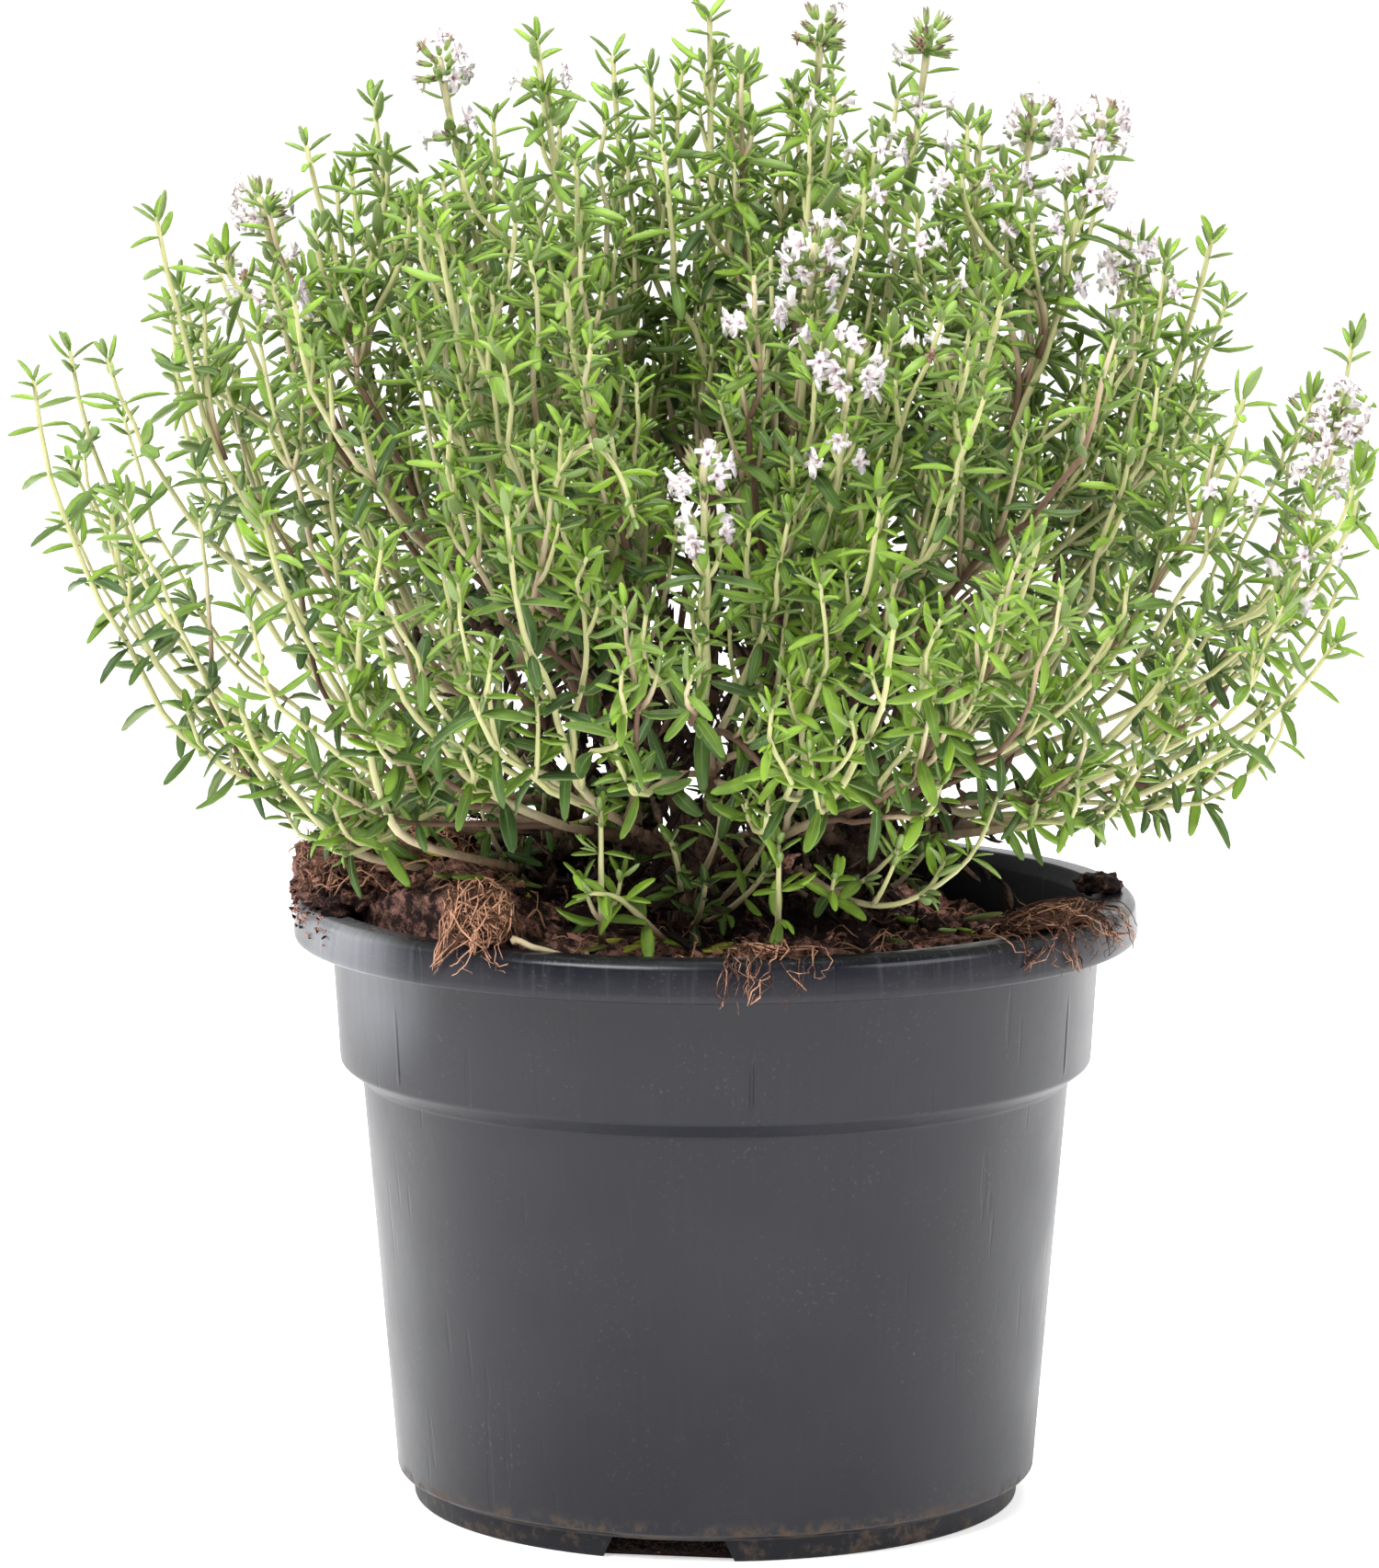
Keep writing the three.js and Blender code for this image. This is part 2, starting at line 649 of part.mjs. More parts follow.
// A flower head: a small core on a stalk, with florets on top and in two rings round it.
function buildHead(curve, draw) {
  const heading = curve.getTangentAt(1);
  const foot = curve.getPointAt(1).addScaledVector(heading, clearance);
  const middle = foot.clone().addScaledVector(heading, bloom.core + bloom.neck);
  const line = framed(new THREE.LineCurve3(foot, middle));
  const stalk = [[0, bloom.stalkRadius], [1, bloom.stalkRadius]];
  const parts = [
    solidOf(rodAlong(line, stalk, 4)),
    solidOf(new THREE.IcosahedronGeometry(bloom.core, 0).translate(...middle)),
  ];
  for (const [count, rise] of bloom.florets) {
    const first = draw(0, Math.PI);
    for (let i = 0; i < count; i += 1) {
      const away = faceOut(line, 0, 0, first + (Math.PI * 2 * i) / count);
      const along = away.clone().multiplyScalar(Math.cos(rise));
      along.addScaledVector(heading, Math.sin(rise));
      const across = away.clone().multiplyScalar(-Math.sin(rise));
      across.addScaledVector(heading, Math.cos(rise));
      const throat = middle.clone().addScaledVector(along, bloom.floretReach - bloom.floretDepth);
      const trumpet = floretTrumpet(bloom.floretSize, bloom.floretDepth);
      parts.push(solidOf(placed(trumpet, throat, along, across)));
    }
  }
  return largestBody(joined(parts));
}

const thyme = new THREE.Group();

function addPiece(name, solid, look) {
  const mesh = new THREE.Mesh(geometryOf(solid), new THREE.MeshStandardMaterial(look));
  mesh.name = name;
  thyme.add(mesh);
}

// Two digits for a piece's name.
function numbered(i) {
  return String(i + 1).padStart(2, '0');
}

// A rope for a round piece, which is a point with a radius.
function ballRope(owner, middle, radius) {
  return ropeOf(owner, middle, middle.clone().setZ(middle.z + finest), radius);
}

addPiece('pot', buildPot(), looks.pot);
addPiece('peat', buildPeat(), looks.peat);

for (const tangle of rootTangles) {
  const { bearing, reach, z, size } = tangle.clump;
  ropes.push(ballRope(tangle.name, pointAt(bearing, reach, z), size[1]));
  addPiece(tangle.name, buildRoots(tangle), looks.root);
}

for (const one of stems) {
  one.curve = stemCurve(one);
}
for (const [plant, place] of Object.entries(plants)) {
  const curves = stems.filter((one) => one.plant === plant).map((one) => one.curve);
  addPiece(`woody_${plant}`, buildTrunk(place, curves), looks.bark);
}
stems.forEach((one, i) => layRope(i, one.curve, stem.roomSteps, stem.footRadius));
stems.filter((one) => one.petals).forEach((one, i) => {
  const name = `flower_head_${numbered(i)}`;
  const middle = one.curve.getPointAt(1).addScaledVector(one.curve.getTangentAt(1), bloom.middle);
  ropes.push(ballRope(name, middle, bloom.room));
  addPiece(name, buildHead(one.curve, drawFrom(seeds.heads + i)), looks.petal);
});
stems.forEach((one, i) => {
  const leafy = buildStem(i, framed(one.curve), one.petals, drawFrom(seeds.stems + i));
  addPiece(`stem_${one.plant}_${numbered(i)}`, leafy, looks.leaf);
});

export default thyme;
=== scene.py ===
import json
import math
import random
import bpy
import numpy as np
from mathutils import Matrix, Vector, noise
from mathutils.kdtree import KDTree

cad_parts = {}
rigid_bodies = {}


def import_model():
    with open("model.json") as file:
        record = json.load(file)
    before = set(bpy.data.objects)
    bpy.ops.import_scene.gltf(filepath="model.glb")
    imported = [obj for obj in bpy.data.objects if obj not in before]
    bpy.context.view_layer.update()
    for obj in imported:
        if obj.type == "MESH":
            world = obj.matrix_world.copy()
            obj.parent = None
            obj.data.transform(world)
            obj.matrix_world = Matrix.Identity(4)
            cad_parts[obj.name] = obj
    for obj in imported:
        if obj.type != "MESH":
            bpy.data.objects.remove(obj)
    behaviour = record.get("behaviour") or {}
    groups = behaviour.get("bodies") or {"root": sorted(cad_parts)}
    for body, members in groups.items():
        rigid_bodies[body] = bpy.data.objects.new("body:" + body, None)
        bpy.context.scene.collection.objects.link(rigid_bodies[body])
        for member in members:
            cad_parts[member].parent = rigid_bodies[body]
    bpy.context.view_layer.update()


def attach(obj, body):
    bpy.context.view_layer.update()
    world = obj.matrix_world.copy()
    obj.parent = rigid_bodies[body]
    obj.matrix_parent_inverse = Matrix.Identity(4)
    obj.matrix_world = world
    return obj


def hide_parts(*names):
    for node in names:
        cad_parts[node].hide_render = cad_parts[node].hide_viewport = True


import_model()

mm = 0.001  # the plans below are in millimetres
up = Vector((0, 0, 1))
noise.seed_set(11)  # without it, noise_vector gives other values each run


# small helpers

def deselectAll():
    bpy.ops.object.select_all(action="DESELECT")


def pick(*pieces):
    deselectAll()
    for piece in pieces:
        piece.select_set(True)
    bpy.context.view_layer.objects.active = pieces[0]


def joinPieces(name, pieces):
    pick(*pieces)
    if len(pieces) > 1:
        bpy.ops.object.join()
    joined = bpy.context.object
    joined.name = name
    joined.data.name = name
    return joined


# merges what lies on one spot and turns every face outwards
def closeSeams(piece, distance=0.001):
    pick(piece)
    bpy.ops.object.mode_set(mode="EDIT")
    bpy.ops.mesh.select_all(action="SELECT")
    bpy.ops.mesh.remove_doubles(threshold=distance * mm)
    bpy.ops.mesh.normals_make_consistent(inside=False)
    bpy.ops.mesh.select_all(action="DESELECT")
    bpy.ops.object.mode_set(mode="OBJECT")


def applyModifiers(piece):
    pick(piece)
    for modifier in list(piece.modifiers):
        bpy.ops.object.modifier_apply(modifier=modifier.name)


def smoothly(low, high, value):
    share = min(max((value - low) / (high - low), 0), 1)
    return share * share * (3 - 2 * share)


def blend(low, high, share):
    return low + (high - low) * share


def onBearing(bearing, reach, height):
    angle = math.radians(bearing)
    return Vector((math.cos(angle) * reach, math.sin(angle) * reach, height))


# turns one heading towards another, at right angles to it
def tilted(first, second, angle):
    return first * math.cos(angle) + second * math.sin(angle)


# a random heading, with limits on how far it looks down and up
def anyWay(draw, low=-1, high=1):
    return Vector((draw.uniform(-1, 1), draw.uniform(-1, 1), draw.uniform(low, high)))


def addTones(mesh, tones):
    mesh.attributes.new("tone", "FLOAT", "POINT").data.foreach_set("value", tones)


# a finished piece rides on the one body, and takes the place of its node where it has one
def finishPiece(name, parts, node=None):
    piece = joinPieces(name, parts)
    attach(piece, "root")
    if node:
        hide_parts(node)


# the photographer's camera: almost level, with a long lens

cameraPlan = {
    "place": (-4.05, -1087, 268.6),
    "tilt": 8.26,  # degrees down
    "focalLength": 164,
    "sensorHeight": 36,
}

bpy.ops.object.camera_add(
    location=[part * mm for part in cameraPlan["place"]],
    rotation=(math.radians(90 - cameraPlan["tilt"]), 0, 0),
)
camera = bpy.context.object
camera.data.sensor_fit = "VERTICAL"
camera.data.sensor_height = cameraPlan["sensorHeight"]
camera.data.lens = cameraPlan["focalLength"]
camera.data.clip_start = 0.05
camera.data.clip_end = 20
bpy.context.scene.camera = camera


# nodes are added with their inputs, each either a plain value or another node's socket

def addNode(tree, kind, inputs=None, **settings):
    node = tree.nodes.new("ShaderNode" + kind)
    for name, value in settings.items():
        setattr(node, name, value)
    for name, value in (inputs or {}).items():
        if isinstance(value, bpy.types.NodeSocket):
            tree.links.new(value, node.inputs[name])
        else:
            node.inputs[name].default_value = value
    return node


def mathNode(tree, operation, first, second=0.0, clamp=False):
    return addNode(tree, "Math", {0: first, 1: second}, operation=operation, use_clamp=clamp).outputs[0]


def times(tree, first, second):
    return mathNode(tree, "MULTIPLY", first, second)


def plus(tree, first, second, clamp=False):
    return mathNode(tree, "ADD", first, second, clamp)


def minus(tree, first, second):
    return mathNode(tree, "SUBTRACT", first, second)


def ramp(tree, value, low, high, outLow=0.0, outHigh=1.0, style="SMOOTHSTEP"):
    inputs = {"Value": value, "From Min": low, "From Max": high, "To Min": outLow, "To Max": outHigh}
    return addNode(tree, "MapRange", inputs, interpolation_type=style).outputs[0]


# a ramp between two places that are given in millimetres
def rampAlong(tree, value, span):
    return ramp(tree, value, span[0] * mm, span[1] * mm)


def mixColours(tree, share, first, second):
    return addNode(tree, "Mix", {0: share, 6: first, 7: second}, data_type="RGBA").outputs[2]


def noiseNode(tree, place, scale, detail=3.0, roughness=0.5):
    inputs = {"Vector": place, "Scale": scale, "Detail": detail, "Roughness": roughness}
    return addNode(tree, "TexNoise", inputs).outputs["Fac"]


def objectPlace(tree):
    return addNode(tree, "TexCoord").outputs["Object"]


def partsOf(tree, vector):
    return addNode(tree, "SeparateXYZ", {0: vector}).outputs


def toneOf(tree):
    return addNode(tree, "Attribute", attribute_name="tone").outputs["Fac"]


def stretched(tree, vector, scale, turn=(0, 0, 0)):
    return addNode(tree, "Mapping", {"Vector": vector, "Rotation": turn, "Scale": scale}).outputs[0]


def newGroup(name, inputs, output, kind):
    group = bpy.data.node_groups.new(name, "ShaderNodeTree")
    for label, value in inputs.items():
        plain = isinstance(value, float)
        socketType = "NodeSocketFloat" if plain else "NodeSocketColor"
        group.interface.new_socket(label, in_out="INPUT", socket_type=socketType).default_value = value
    group.interface.new_socket(output, in_out="OUTPUT", socket_type=kind)
    return group, group.nodes.new("NodeGroupInput").outputs, group.nodes.new("NodeGroupOutput").inputs


def useGroup(tree, group, inputs):
    return addNode(tree, "Group", inputs, node_tree=group).outputs[0]


# a light tent: white behind the plant, dimmer towards the camera, with soft panels in front and above

lightPlan = {
    "tent": 1.15,    # brightness of the white side, behind the plant
    "front": 0.08,   # brightness of the side that the camera stands on
    "fade": (-0.14, 0.4),        # from one to the other
    "left": 1.7,     # how much brighter the tent is at its left
    "leftFade": (-0.5, -0.85),
    "aim": (0, 0, 0.12),
    "panels": {
        "key": {"place": (-0.6, -0.8, 1.15), "size": 0.7, "power": 22},
        "fill": {"place": (1.0, -0.6, 0.6), "size": 0.7, "power": 7},
        "top": {"place": (0.05, 0.25, 1.25), "size": 0.9, "power": 17},
    },
}


def hangLights():
    plan = lightPlan
    world = bpy.data.worlds.new("light tent")
    world.use_nodes = True
    tree = world.node_tree
    paper = tree.nodes["Background"].inputs
    paper["Color"].default_value = (1, 1, 1, 1)
    direction = partsOf(tree, addNode(tree, "TexCoord").outputs["Generated"])
    depth = ramp(tree, direction["Y"], *plan["fade"], plan["front"], plan["tent"], "LINEAR")
    leftward = ramp(tree, direction["X"], *plan["leftFade"], 1, 1 + plan["left"], "LINEAR")
    seen = addNode(tree, "LightPath").outputs["Is Camera Ray"]
    strength = mathNode(tree, "MAXIMUM", times(tree, depth, leftward), seen)
    tree.links.new(strength, paper["Strength"])
    bpy.context.scene.world = world
    bpy.context.scene.view_settings.view_transform = "Standard"
    for name, panel in plan["panels"].items():
        place = Vector(panel["place"])
        aim = Vector(plan["aim"]) - place
        turn = aim.to_track_quat("-Z", "Y").to_euler()
        bpy.ops.object.light_add(type="AREA", location=place, rotation=turn)
        light = bpy.context.object
        light.name = name
        light.data.size = panel["size"]
        light.data.energy = panel["power"]


hangLights()
print("camera and lights are up")


# patchy colour, as living and rotting things have
mottle, given, made = newGroup(
    "mottle",
    {"Dark": (0, 0, 0, 1), "Light": (1, 1, 1, 1), "Scale": 100.0, "Shift": 0.0},
    "Colour",
    "NodeSocketColor",
)
place = objectPlace(mottle)
broad = noiseNode(mottle, place, given["Scale"], 2.0)
fine = noiseNode(mottle, place, times(mottle, given["Scale"], 7.0), 3.0)
both = plus(mottle, times(mottle, broad, 0.6), times(mottle, fine, 0.4))
share = ramp(mottle, plus(mottle, both, given["Shift"]), 0.34, 0.66)
mottle.links.new(mixColours(mottle, share, given["Dark"], given["Light"]), made["Colour"])

# fine relief of two sizes, for a bump
grain, given, made = newGroup("grain", {"Scale": 500.0, "Coarse": 0.5}, "Height", "NodeSocketFloat")
place = objectPlace(grain)
small = noiseNode(grain, place, given["Scale"], 4.0, 0.6)
large = noiseNode(grain, place, times(grain, given["Scale"], 0.2), 2.0)
grain.links.new(plus(grain, small, times(grain, large, given["Coarse"])), made["Height"])

# specks of peat dust, more of them on faces that look up
dust, given, made = newGroup("dust", {"Scale": 900.0, "Amount": 0.3}, "Mask", "NodeSocketFloat")
place = objectPlace(dust)
facing = partsOf(dust, addNode(dust, "NewGeometry").outputs["Normal"])
upward = ramp(dust, facing["Z"], -0.2, 0.9, 0.3, 1.0)
specks = ramp(dust, noiseNode(dust, place, given["Scale"], 2.0), 0.62, 0.72)
patches = ramp(dust, noiseNode(dust, place, times(dust, given["Scale"], 0.06), 2.0), 0.4, 0.7)
mask = times(dust, times(dust, specks, patches), upward)
dust.links.new(times(dust, mask, given["Amount"]), made["Mask"])


def newMaterial(name, roughness, specular=0.5):
    material = bpy.data.materials.new(name)
    material.use_nodes = True
    shader = material.node_tree.nodes["Principled BSDF"].inputs
    shader["Roughness"].default_value = roughness
    shader["Specular IOR Level"].default_value = specular
    return material, material.node_tree, shader


def addBump(tree, shader, height, depth):
    bump = addNode(tree, "Bump", {"Height": height, "Distance": depth * mm, "Strength": 1.0})
    tree.links.new(bump.outputs["Normal"], shader["Normal"])


# charcoal moulded plastic with upright scuffs, fine scratches, dust and brown dirt at the foot, and a painted
# highlight on the rim at the left
def makePlastic():
    plan = {
        "colour": (0.0074, 0.0077, 0.0124, 1),
        "worn": (0.024, 0.024, 0.031, 1),
        "rimWearAndHighlight": (86, 93),
        "dusty": (0.30, 0.28, 0.26, 1),
        "dustAmount": 0.26,
        "paintedHighlight": (0.55, 0.57, 0.63, 1),
        "highlightPlace": (-0.057, -0.031, 0.088),  # painted highlight: a pale film on the rim, at the left, in place of a reflection
        "highlightSpan": (22, 5),    # from that place: where the painted highlight begins, and where it is full
        "highlightShare": 0.19,
        "dirt": (0.085, 0.055, 0.036, 1),
        "dirtShare": 0.85,
        "dirtSpan": (3, 0.3),   # from the joint of the foot and the wall
        "jointHeight": 4.2,
        "creaseStart": 25,      # degrees, of six upright folds in the collar
        "creaseTurn": 30,       # half the way from one to the next
        "creaseWidth": 0.55,
        "creaseDepth": 1.6,
        "creaseFoot": (69.5, 72),
        "creaseTop": (83, 75),
    }
    material, tree, shader = newMaterial("pot plastic", 0.36, 0.33)
    place = objectPlace(tree)
    parts = partsOf(tree, place)
    turn = mathNode(tree, "ARCTAN2", parts["Y"], parts["X"])
    height = parts["Z"]
    around = addNode(tree, "CombineXYZ", {0: times(tree, turn, 0.06), 2: height}).outputs[0]
    streaks = noiseNode(tree, stretched(tree, around, (1, 1, 0.07)), 900, 3.0)
    rimMask = rampAlong(tree, height, plan["rimWearAndHighlight"])
    wear = times(tree, ramp(tree, streaks, 0.52, 0.74), plus(tree, rimMask, 0.12, True))
    colour = mixColours(tree, wear, plan["colour"], plan["worn"])
    clouds = ramp(tree, noiseNode(tree, place, 35, 3.0), 0.35, 0.75, 0.0, 0.35)
    colour = mixColours(tree, clouds, colour, plan["worn"])
    dusted = useGroup(tree, dust, {"Scale": 1500.0, "Amount": plan["dustAmount"]})
    colour = mixColours(tree, dusted, colour, plan["dusty"])
    joint = mathNode(tree, "ABSOLUTE", minus(tree, height, plan["jointHeight"] * mm))
    stains = ramp(tree, noiseNode(tree, place, 420, 5.0, 0.7), 0.46, 0.64)
    dirt = times(tree, rampAlong(tree, joint, plan["dirtSpan"]), stains)
    colour = mixColours(tree, times(tree, dirt, plan["dirtShare"]), colour, plan["dirt"])
    # painted highlight: a pale, streaky film near that place, a little stronger on the rim
    away = addNode(tree, "VectorMath", {0: place, 1: plan["highlightPlace"]}, operation="DISTANCE")
    paintedHighlight = rampAlong(tree, away.outputs["Value"], plan["highlightSpan"])
    paintedHighlight = times(tree, paintedHighlight, ramp(tree, streaks, 0.2, 0.6, 0.8, 1.0))
    paintedHighlight = times(tree, paintedHighlight, plus(tree, times(tree, rimMask, 0.1), plan["highlightShare"]))
    tree.links.new(mixColours(tree, paintedHighlight, colour, plan["paintedHighlight"]), shader["Base Color"])
    rough = minus(tree, plus(tree, times(tree, clouds, 0.3), 0.33), times(tree, rimMask, 0.1))
    tree.links.new(plus(tree, rough, times(tree, dirt, 0.4)), shader["Roughness"])
    turned = plus(tree, turn, math.radians(plan["creaseStart"]))
    fromCrease = mathNode(tree, "PINGPONG", turned, math.radians(plan["creaseTurn"]))
    crease = ramp(tree, fromCrease, math.radians(plan["creaseWidth"]), 0.0)
    foot, top = rampAlong(tree, height, plan["creaseFoot"]), rampAlong(tree, height, plan["creaseTop"])
    crease = times(tree, crease, times(tree, foot, top))
    scratched = stretched(tree, place, (1, 1, 0.08), (0.3, 0.5, 0.2))
    scratches = ramp(tree, noiseNode(tree, scratched, 420, 1.0), 0.66, 0.71)
    relief = times(tree, useGroup(tree, grain, {"Scale": 700.0, "Coarse": 3.0}), 0.08)
    relief = plus(tree, relief, times(tree, crease, plan["creaseDepth"]))
    addBump(tree, shader, minus(tree, relief, times(tree, scratches, 0.1)), 0.25)
    return material


# the pot's inside is duller, with pale streaks over a base darkened as painted shade; its foot is duller too,
# with brown stains
def makeDull(name, specular, dark, pale, stained):
    material, tree, shader = newMaterial(name, 0.5, specular)
    place = objectPlace(tree)
    drawn = stretched(tree, place, (1, 1, 0.12))
    streaks = ramp(tree, noiseNode(tree, drawn, 260, 3.0), 0.6, 0.78, 0.0, 0.7)
    colour = mixColours(tree, streaks, dark, pale)
    stains = ramp(tree, noiseNode(tree, place, 300, 5.0, 0.7), 0.5, 0.66, 0.0, stained)
    colour = mixColours(tree, stains, colour, (0.10, 0.066, 0.042, 1))
    tree.links.new(colour, shader["Base Color"])
    addBump(tree, shader, useGroup(tree, grain, {"Scale": 700.0, "Coarse": 3.0}), 0.05)
    return material


def makeEarthy(name, dark, light, patches, grains, depth, roughness):
    material, tree, shader = newMaterial(name, roughness, 0.25)
    shift = plus(tree, times(tree, toneOf(tree), 0.3), -0.15)
    colour = useGroup(tree, mottle, {"Dark": dark, "Light": light, "Scale": patches, "Shift": shift})
    tree.links.new(colour, shader["Base Color"])
    addBump(tree, shader, useGroup(tree, grain, {"Scale": grains, "Coarse": 1.0}), depth)
    return material


# the leaf's skin reads its own map: across the upper face from 0 to 1, across the underside from 1 to 2
def makeLeafSkin():
    plan = {
        "old": (0.039, 0.085, 0.019, 1),
        "young": (0.215, 0.365, 0.03, 1),
        "rib": (0.28, 0.36, 0.12, 1),
        "under": (0.2, 0.27, 0.105, 1),
        "yellowed": (0.42, 0.42, 0.05, 1),
    }
    material, tree, shader = newMaterial("leaf skin", 0.46, 0.3)
    tone = toneOf(tree)
    spread = partsOf(tree, addNode(tree, "UVMap").outputs[0])
    across, along = spread["X"], spread["Y"]
    young = mixColours(tree, ramp(tree, tone, 0.0, 1.0), plan["old"], plan["young"])
    place = objectPlace(tree)
    patches = ramp(tree, noiseNode(tree, place, 260, 2.0), 0.3, 0.7, 0.78, 1.2)
    colour = addNode(tree, "HueSaturation", {"Value": patches, "Color": young}).outputs[0]
    fromRib = mathNode(tree, "ABSOLUTE", minus(tree, across, 0.5))
    rib = times(tree, ramp(tree, fromRib, 0.07, 0.02), ramp(tree, along, 0.9, 0.2, 0.1, 0.6))
    margin = ramp(tree, fromRib, 0.43, 0.49, 0.0, 0.28)
    under = ramp(tree, across, 1.02, 1.12, 0.0, 0.75)
    colour = mixColours(tree, mathNode(tree, "MAXIMUM", rib, margin), colour, plan["rib"])
    colour = mixColours(tree, under, colour, plan["under"])
    colour = mixColours(tree, ramp(tree, tone, -0.2, -0.8), colour, plan["yellowed"])
    tree.links.new(colour, shader["Base Color"])
    tree.links.new(ramp(tree, noiseNode(tree, place, 900, 2.0), 0.3, 0.7, 0.38, 0.58), shader["Roughness"])
    pits = noiseNode(tree, place, 2600, 2.0)
    addBump(tree, shader, plus(tree, pits, times(tree, rib, -0.6)), 0.05)
    return material


# a stem is brown and corky at its foot, then buff, then pale green
def makeStemSkin():
    stops = [
        (0.0, (0.06, 0.032, 0.022, 1)),
        (0.25, (0.17, 0.098, 0.065, 1)),
        (0.5, (0.42, 0.32, 0.20, 1)),
        (0.75, (0.57, 0.50, 0.32, 1)),
        (1.0, (0.47, 0.48, 0.21, 1)),
    ]
    material, tree, shader = newMaterial("stem skin", 0.55, 0.35)
    tone = toneOf(tree)
    drawn = stretched(tree, objectPlace(tree), (1, 1, 0.2))
    lines = minus(tree, noiseNode(tree, drawn, 1100, 3.0), 0.5)
    skin = addNode(tree, "ValToRGB", {"Fac": plus(tree, tone, times(tree, lines, 0.22))})
    while len(skin.color_ramp.elements) < len(stops):
        skin.color_ramp.elements.new(0.5)
    for element, (position, colour) in zip(skin.color_ramp.elements, stops):
        element.position = position
        element.color = colour
    tree.links.new(skin.outputs["Color"], shader["Base Color"])
    tree.links.new(ramp(tree, tone, 0.0, 0.8, 0.85, 0.5), shader["Roughness"])
    addBump(tree, shader, noiseNode(tree, drawn, 2200, 3.0), 0.06)
    return material


# petals are white with a breath of pink, and brown where they wither; the map runs from foot to throat
def makePetalSkin(name, fresh, deep, withered, tip, tipSpan):
    material, tree, shader = newMaterial(name, 0.6, 0.3)
    colour = useGroup(tree, mottle, {"Dark": deep, "Light": fresh, "Scale": 420.0, "Shift": 0.10})
    along = partsOf(tree, addNode(tree, "UVMap").outputs[0])["Y"]
    colour = mixColours(tree, ramp(tree, along, *tipSpan), colour, tip)
    colour = mixColours(tree, ramp(tree, toneOf(tree), 0.45, 0.1), colour, withered)
    tree.links.new(colour, shader["Base Color"])
    addBump(tree, shader, useGroup(tree, grain, {"Scale": 2500.0, "Coarse": 0.5}), 0.04)
    return material


plastic = makePlastic()
# the inside's dark colour is below the outer plastic's: painted shade where the bush shades the inside of the
# pot
shadedInside = makeDull(
    "pot inside painted shade", 0.06, dark=(0.0038, 0.0042, 0.0070, 1), pale=(0.045, 0.048, 0.060, 1), stained=0.0
)
plasticFoot = makeDull(
    "pot foot", 0.14, dark=(0.0135, 0.014, 0.0175, 1), pale=(0.03, 0.031, 0.036, 1), stained=0.55
)
peatSoil = makeEarthy(
    "peat soil", dark=(0.018, 0.008, 0.0075, 1), light=(0.58, 0.29, 0.225, 1),
    patches=560.0, grains=1500.0, depth=0.9, roughness=0.95,
)
rootFibre = makeEarthy(
    "root fibre", dark=(0.07, 0.028, 0.017, 1), light=(0.60, 0.32, 0.20, 1),
    patches=330.0, grains=1800.0, depth=0.1, roughness=0.8,
)
bark = makeEarthy(
    "bark", dark=(0.023, 0.013, 0.010, 1), light=(0.155, 0.094, 0.062, 1),
    patches=320.0, grains=1500.0, depth=0.35, roughness=0.9,
)
leafSkin = makeLeafSkin()
stemSkin = makeStemSkin()
petalSkin = makePetalSkin(
    "petal", fresh=(0.94, 0.89, 0.90, 1), deep=(0.79, 0.63, 0.67, 1), withered=(0.36, 0.13, 0.06, 1),
    tip=(0.42, 0.26, 0.30, 1), tipSpan=(0.68, 0.95),
)
calyxSkin = makePetalSkin(
    "calyx", fresh=(0.30, 0.42, 0.12, 1), deep=(0.21, 0.27, 0.08, 1), withered=(0.20, 0.09, 0.05, 1),
    tip=(0.20, 0.15, 0.09, 1), tipSpan=(0.5, 0.8),
)
print("materials are mixed")


# the floor, plain and white

floorPlan = {"size": 6, "colour": (0.93, 0.93, 0.93, 1), "glow": 0.55}

deselectAll()
bpy.ops.mesh.primitive_plane_add(size=floorPlan["size"], location=(0, 0, 0))
floor = bpy.context.object
floor.name = "floor"
floorPaint, tree, paint = newMaterial("floor paint", 0.9, 0.1)
paint["Base Color"].default_value = floorPlan["colour"]
paint["Emission Color"].default_value = floorPlan["colour"]
paint["Emission Strength"].default_value = floorPlan["glow"]
floor.data.materials.append(floorPaint)


# the pot: its section is drawn once, rounded and spun round the axis

potPlan = {
    "section": [
        # radius and height, from under the middle out, up the wall, round the lip and down inside
        (0, 2.6), (44.2, 2.6), (44.2, 0), (46.8, 0), (47.1, 3.6), (49.4, 4.5), (54.6, 66), (58, 68.6),
        (59.4, 92.5), (63, 92.5), (63, 87.7), (64.8, 87.7), (65, 88.6), (64.7, 92.9), (63.7, 94), (60, 94),
        (58.1, 92.2), (56.7, 69), (53.3, 66.4), (48.1, 4), (0, 4),
    ],
    "steps": 216,
    "innerFloor": 6,
    "footTop": 3.3,
    "rounding": 0.45,
    "notches": [-99, 21, 141],
    "notchSize": (17, 8, 6.6),
    "notchReach": 47,
    "notchFlare": 1.36,  # how much wider a notch is at its lower end
    "drains": [30, 90, 150, 210, 270, 330],
    "drainRadius": 4,
    "drainCircle": 34,
    "drainDepth": 6,
    "waviness": 0.12,
    "waves": 42,
    "wavyAbove": 5,     # the foot and the base plate stay true
    "wavyOutside": 50,
    "smoothAngle": 32,
}


def cutAway(piece, cutter):
    cut = piece.modifiers.new("cut", "BOOLEAN")
    cut.operation = "DIFFERENCE"
    cut.solver = "EXACT"
    cut.object = cutter
    applyModifiers(piece)
    bpy.data.objects.remove(cutter)


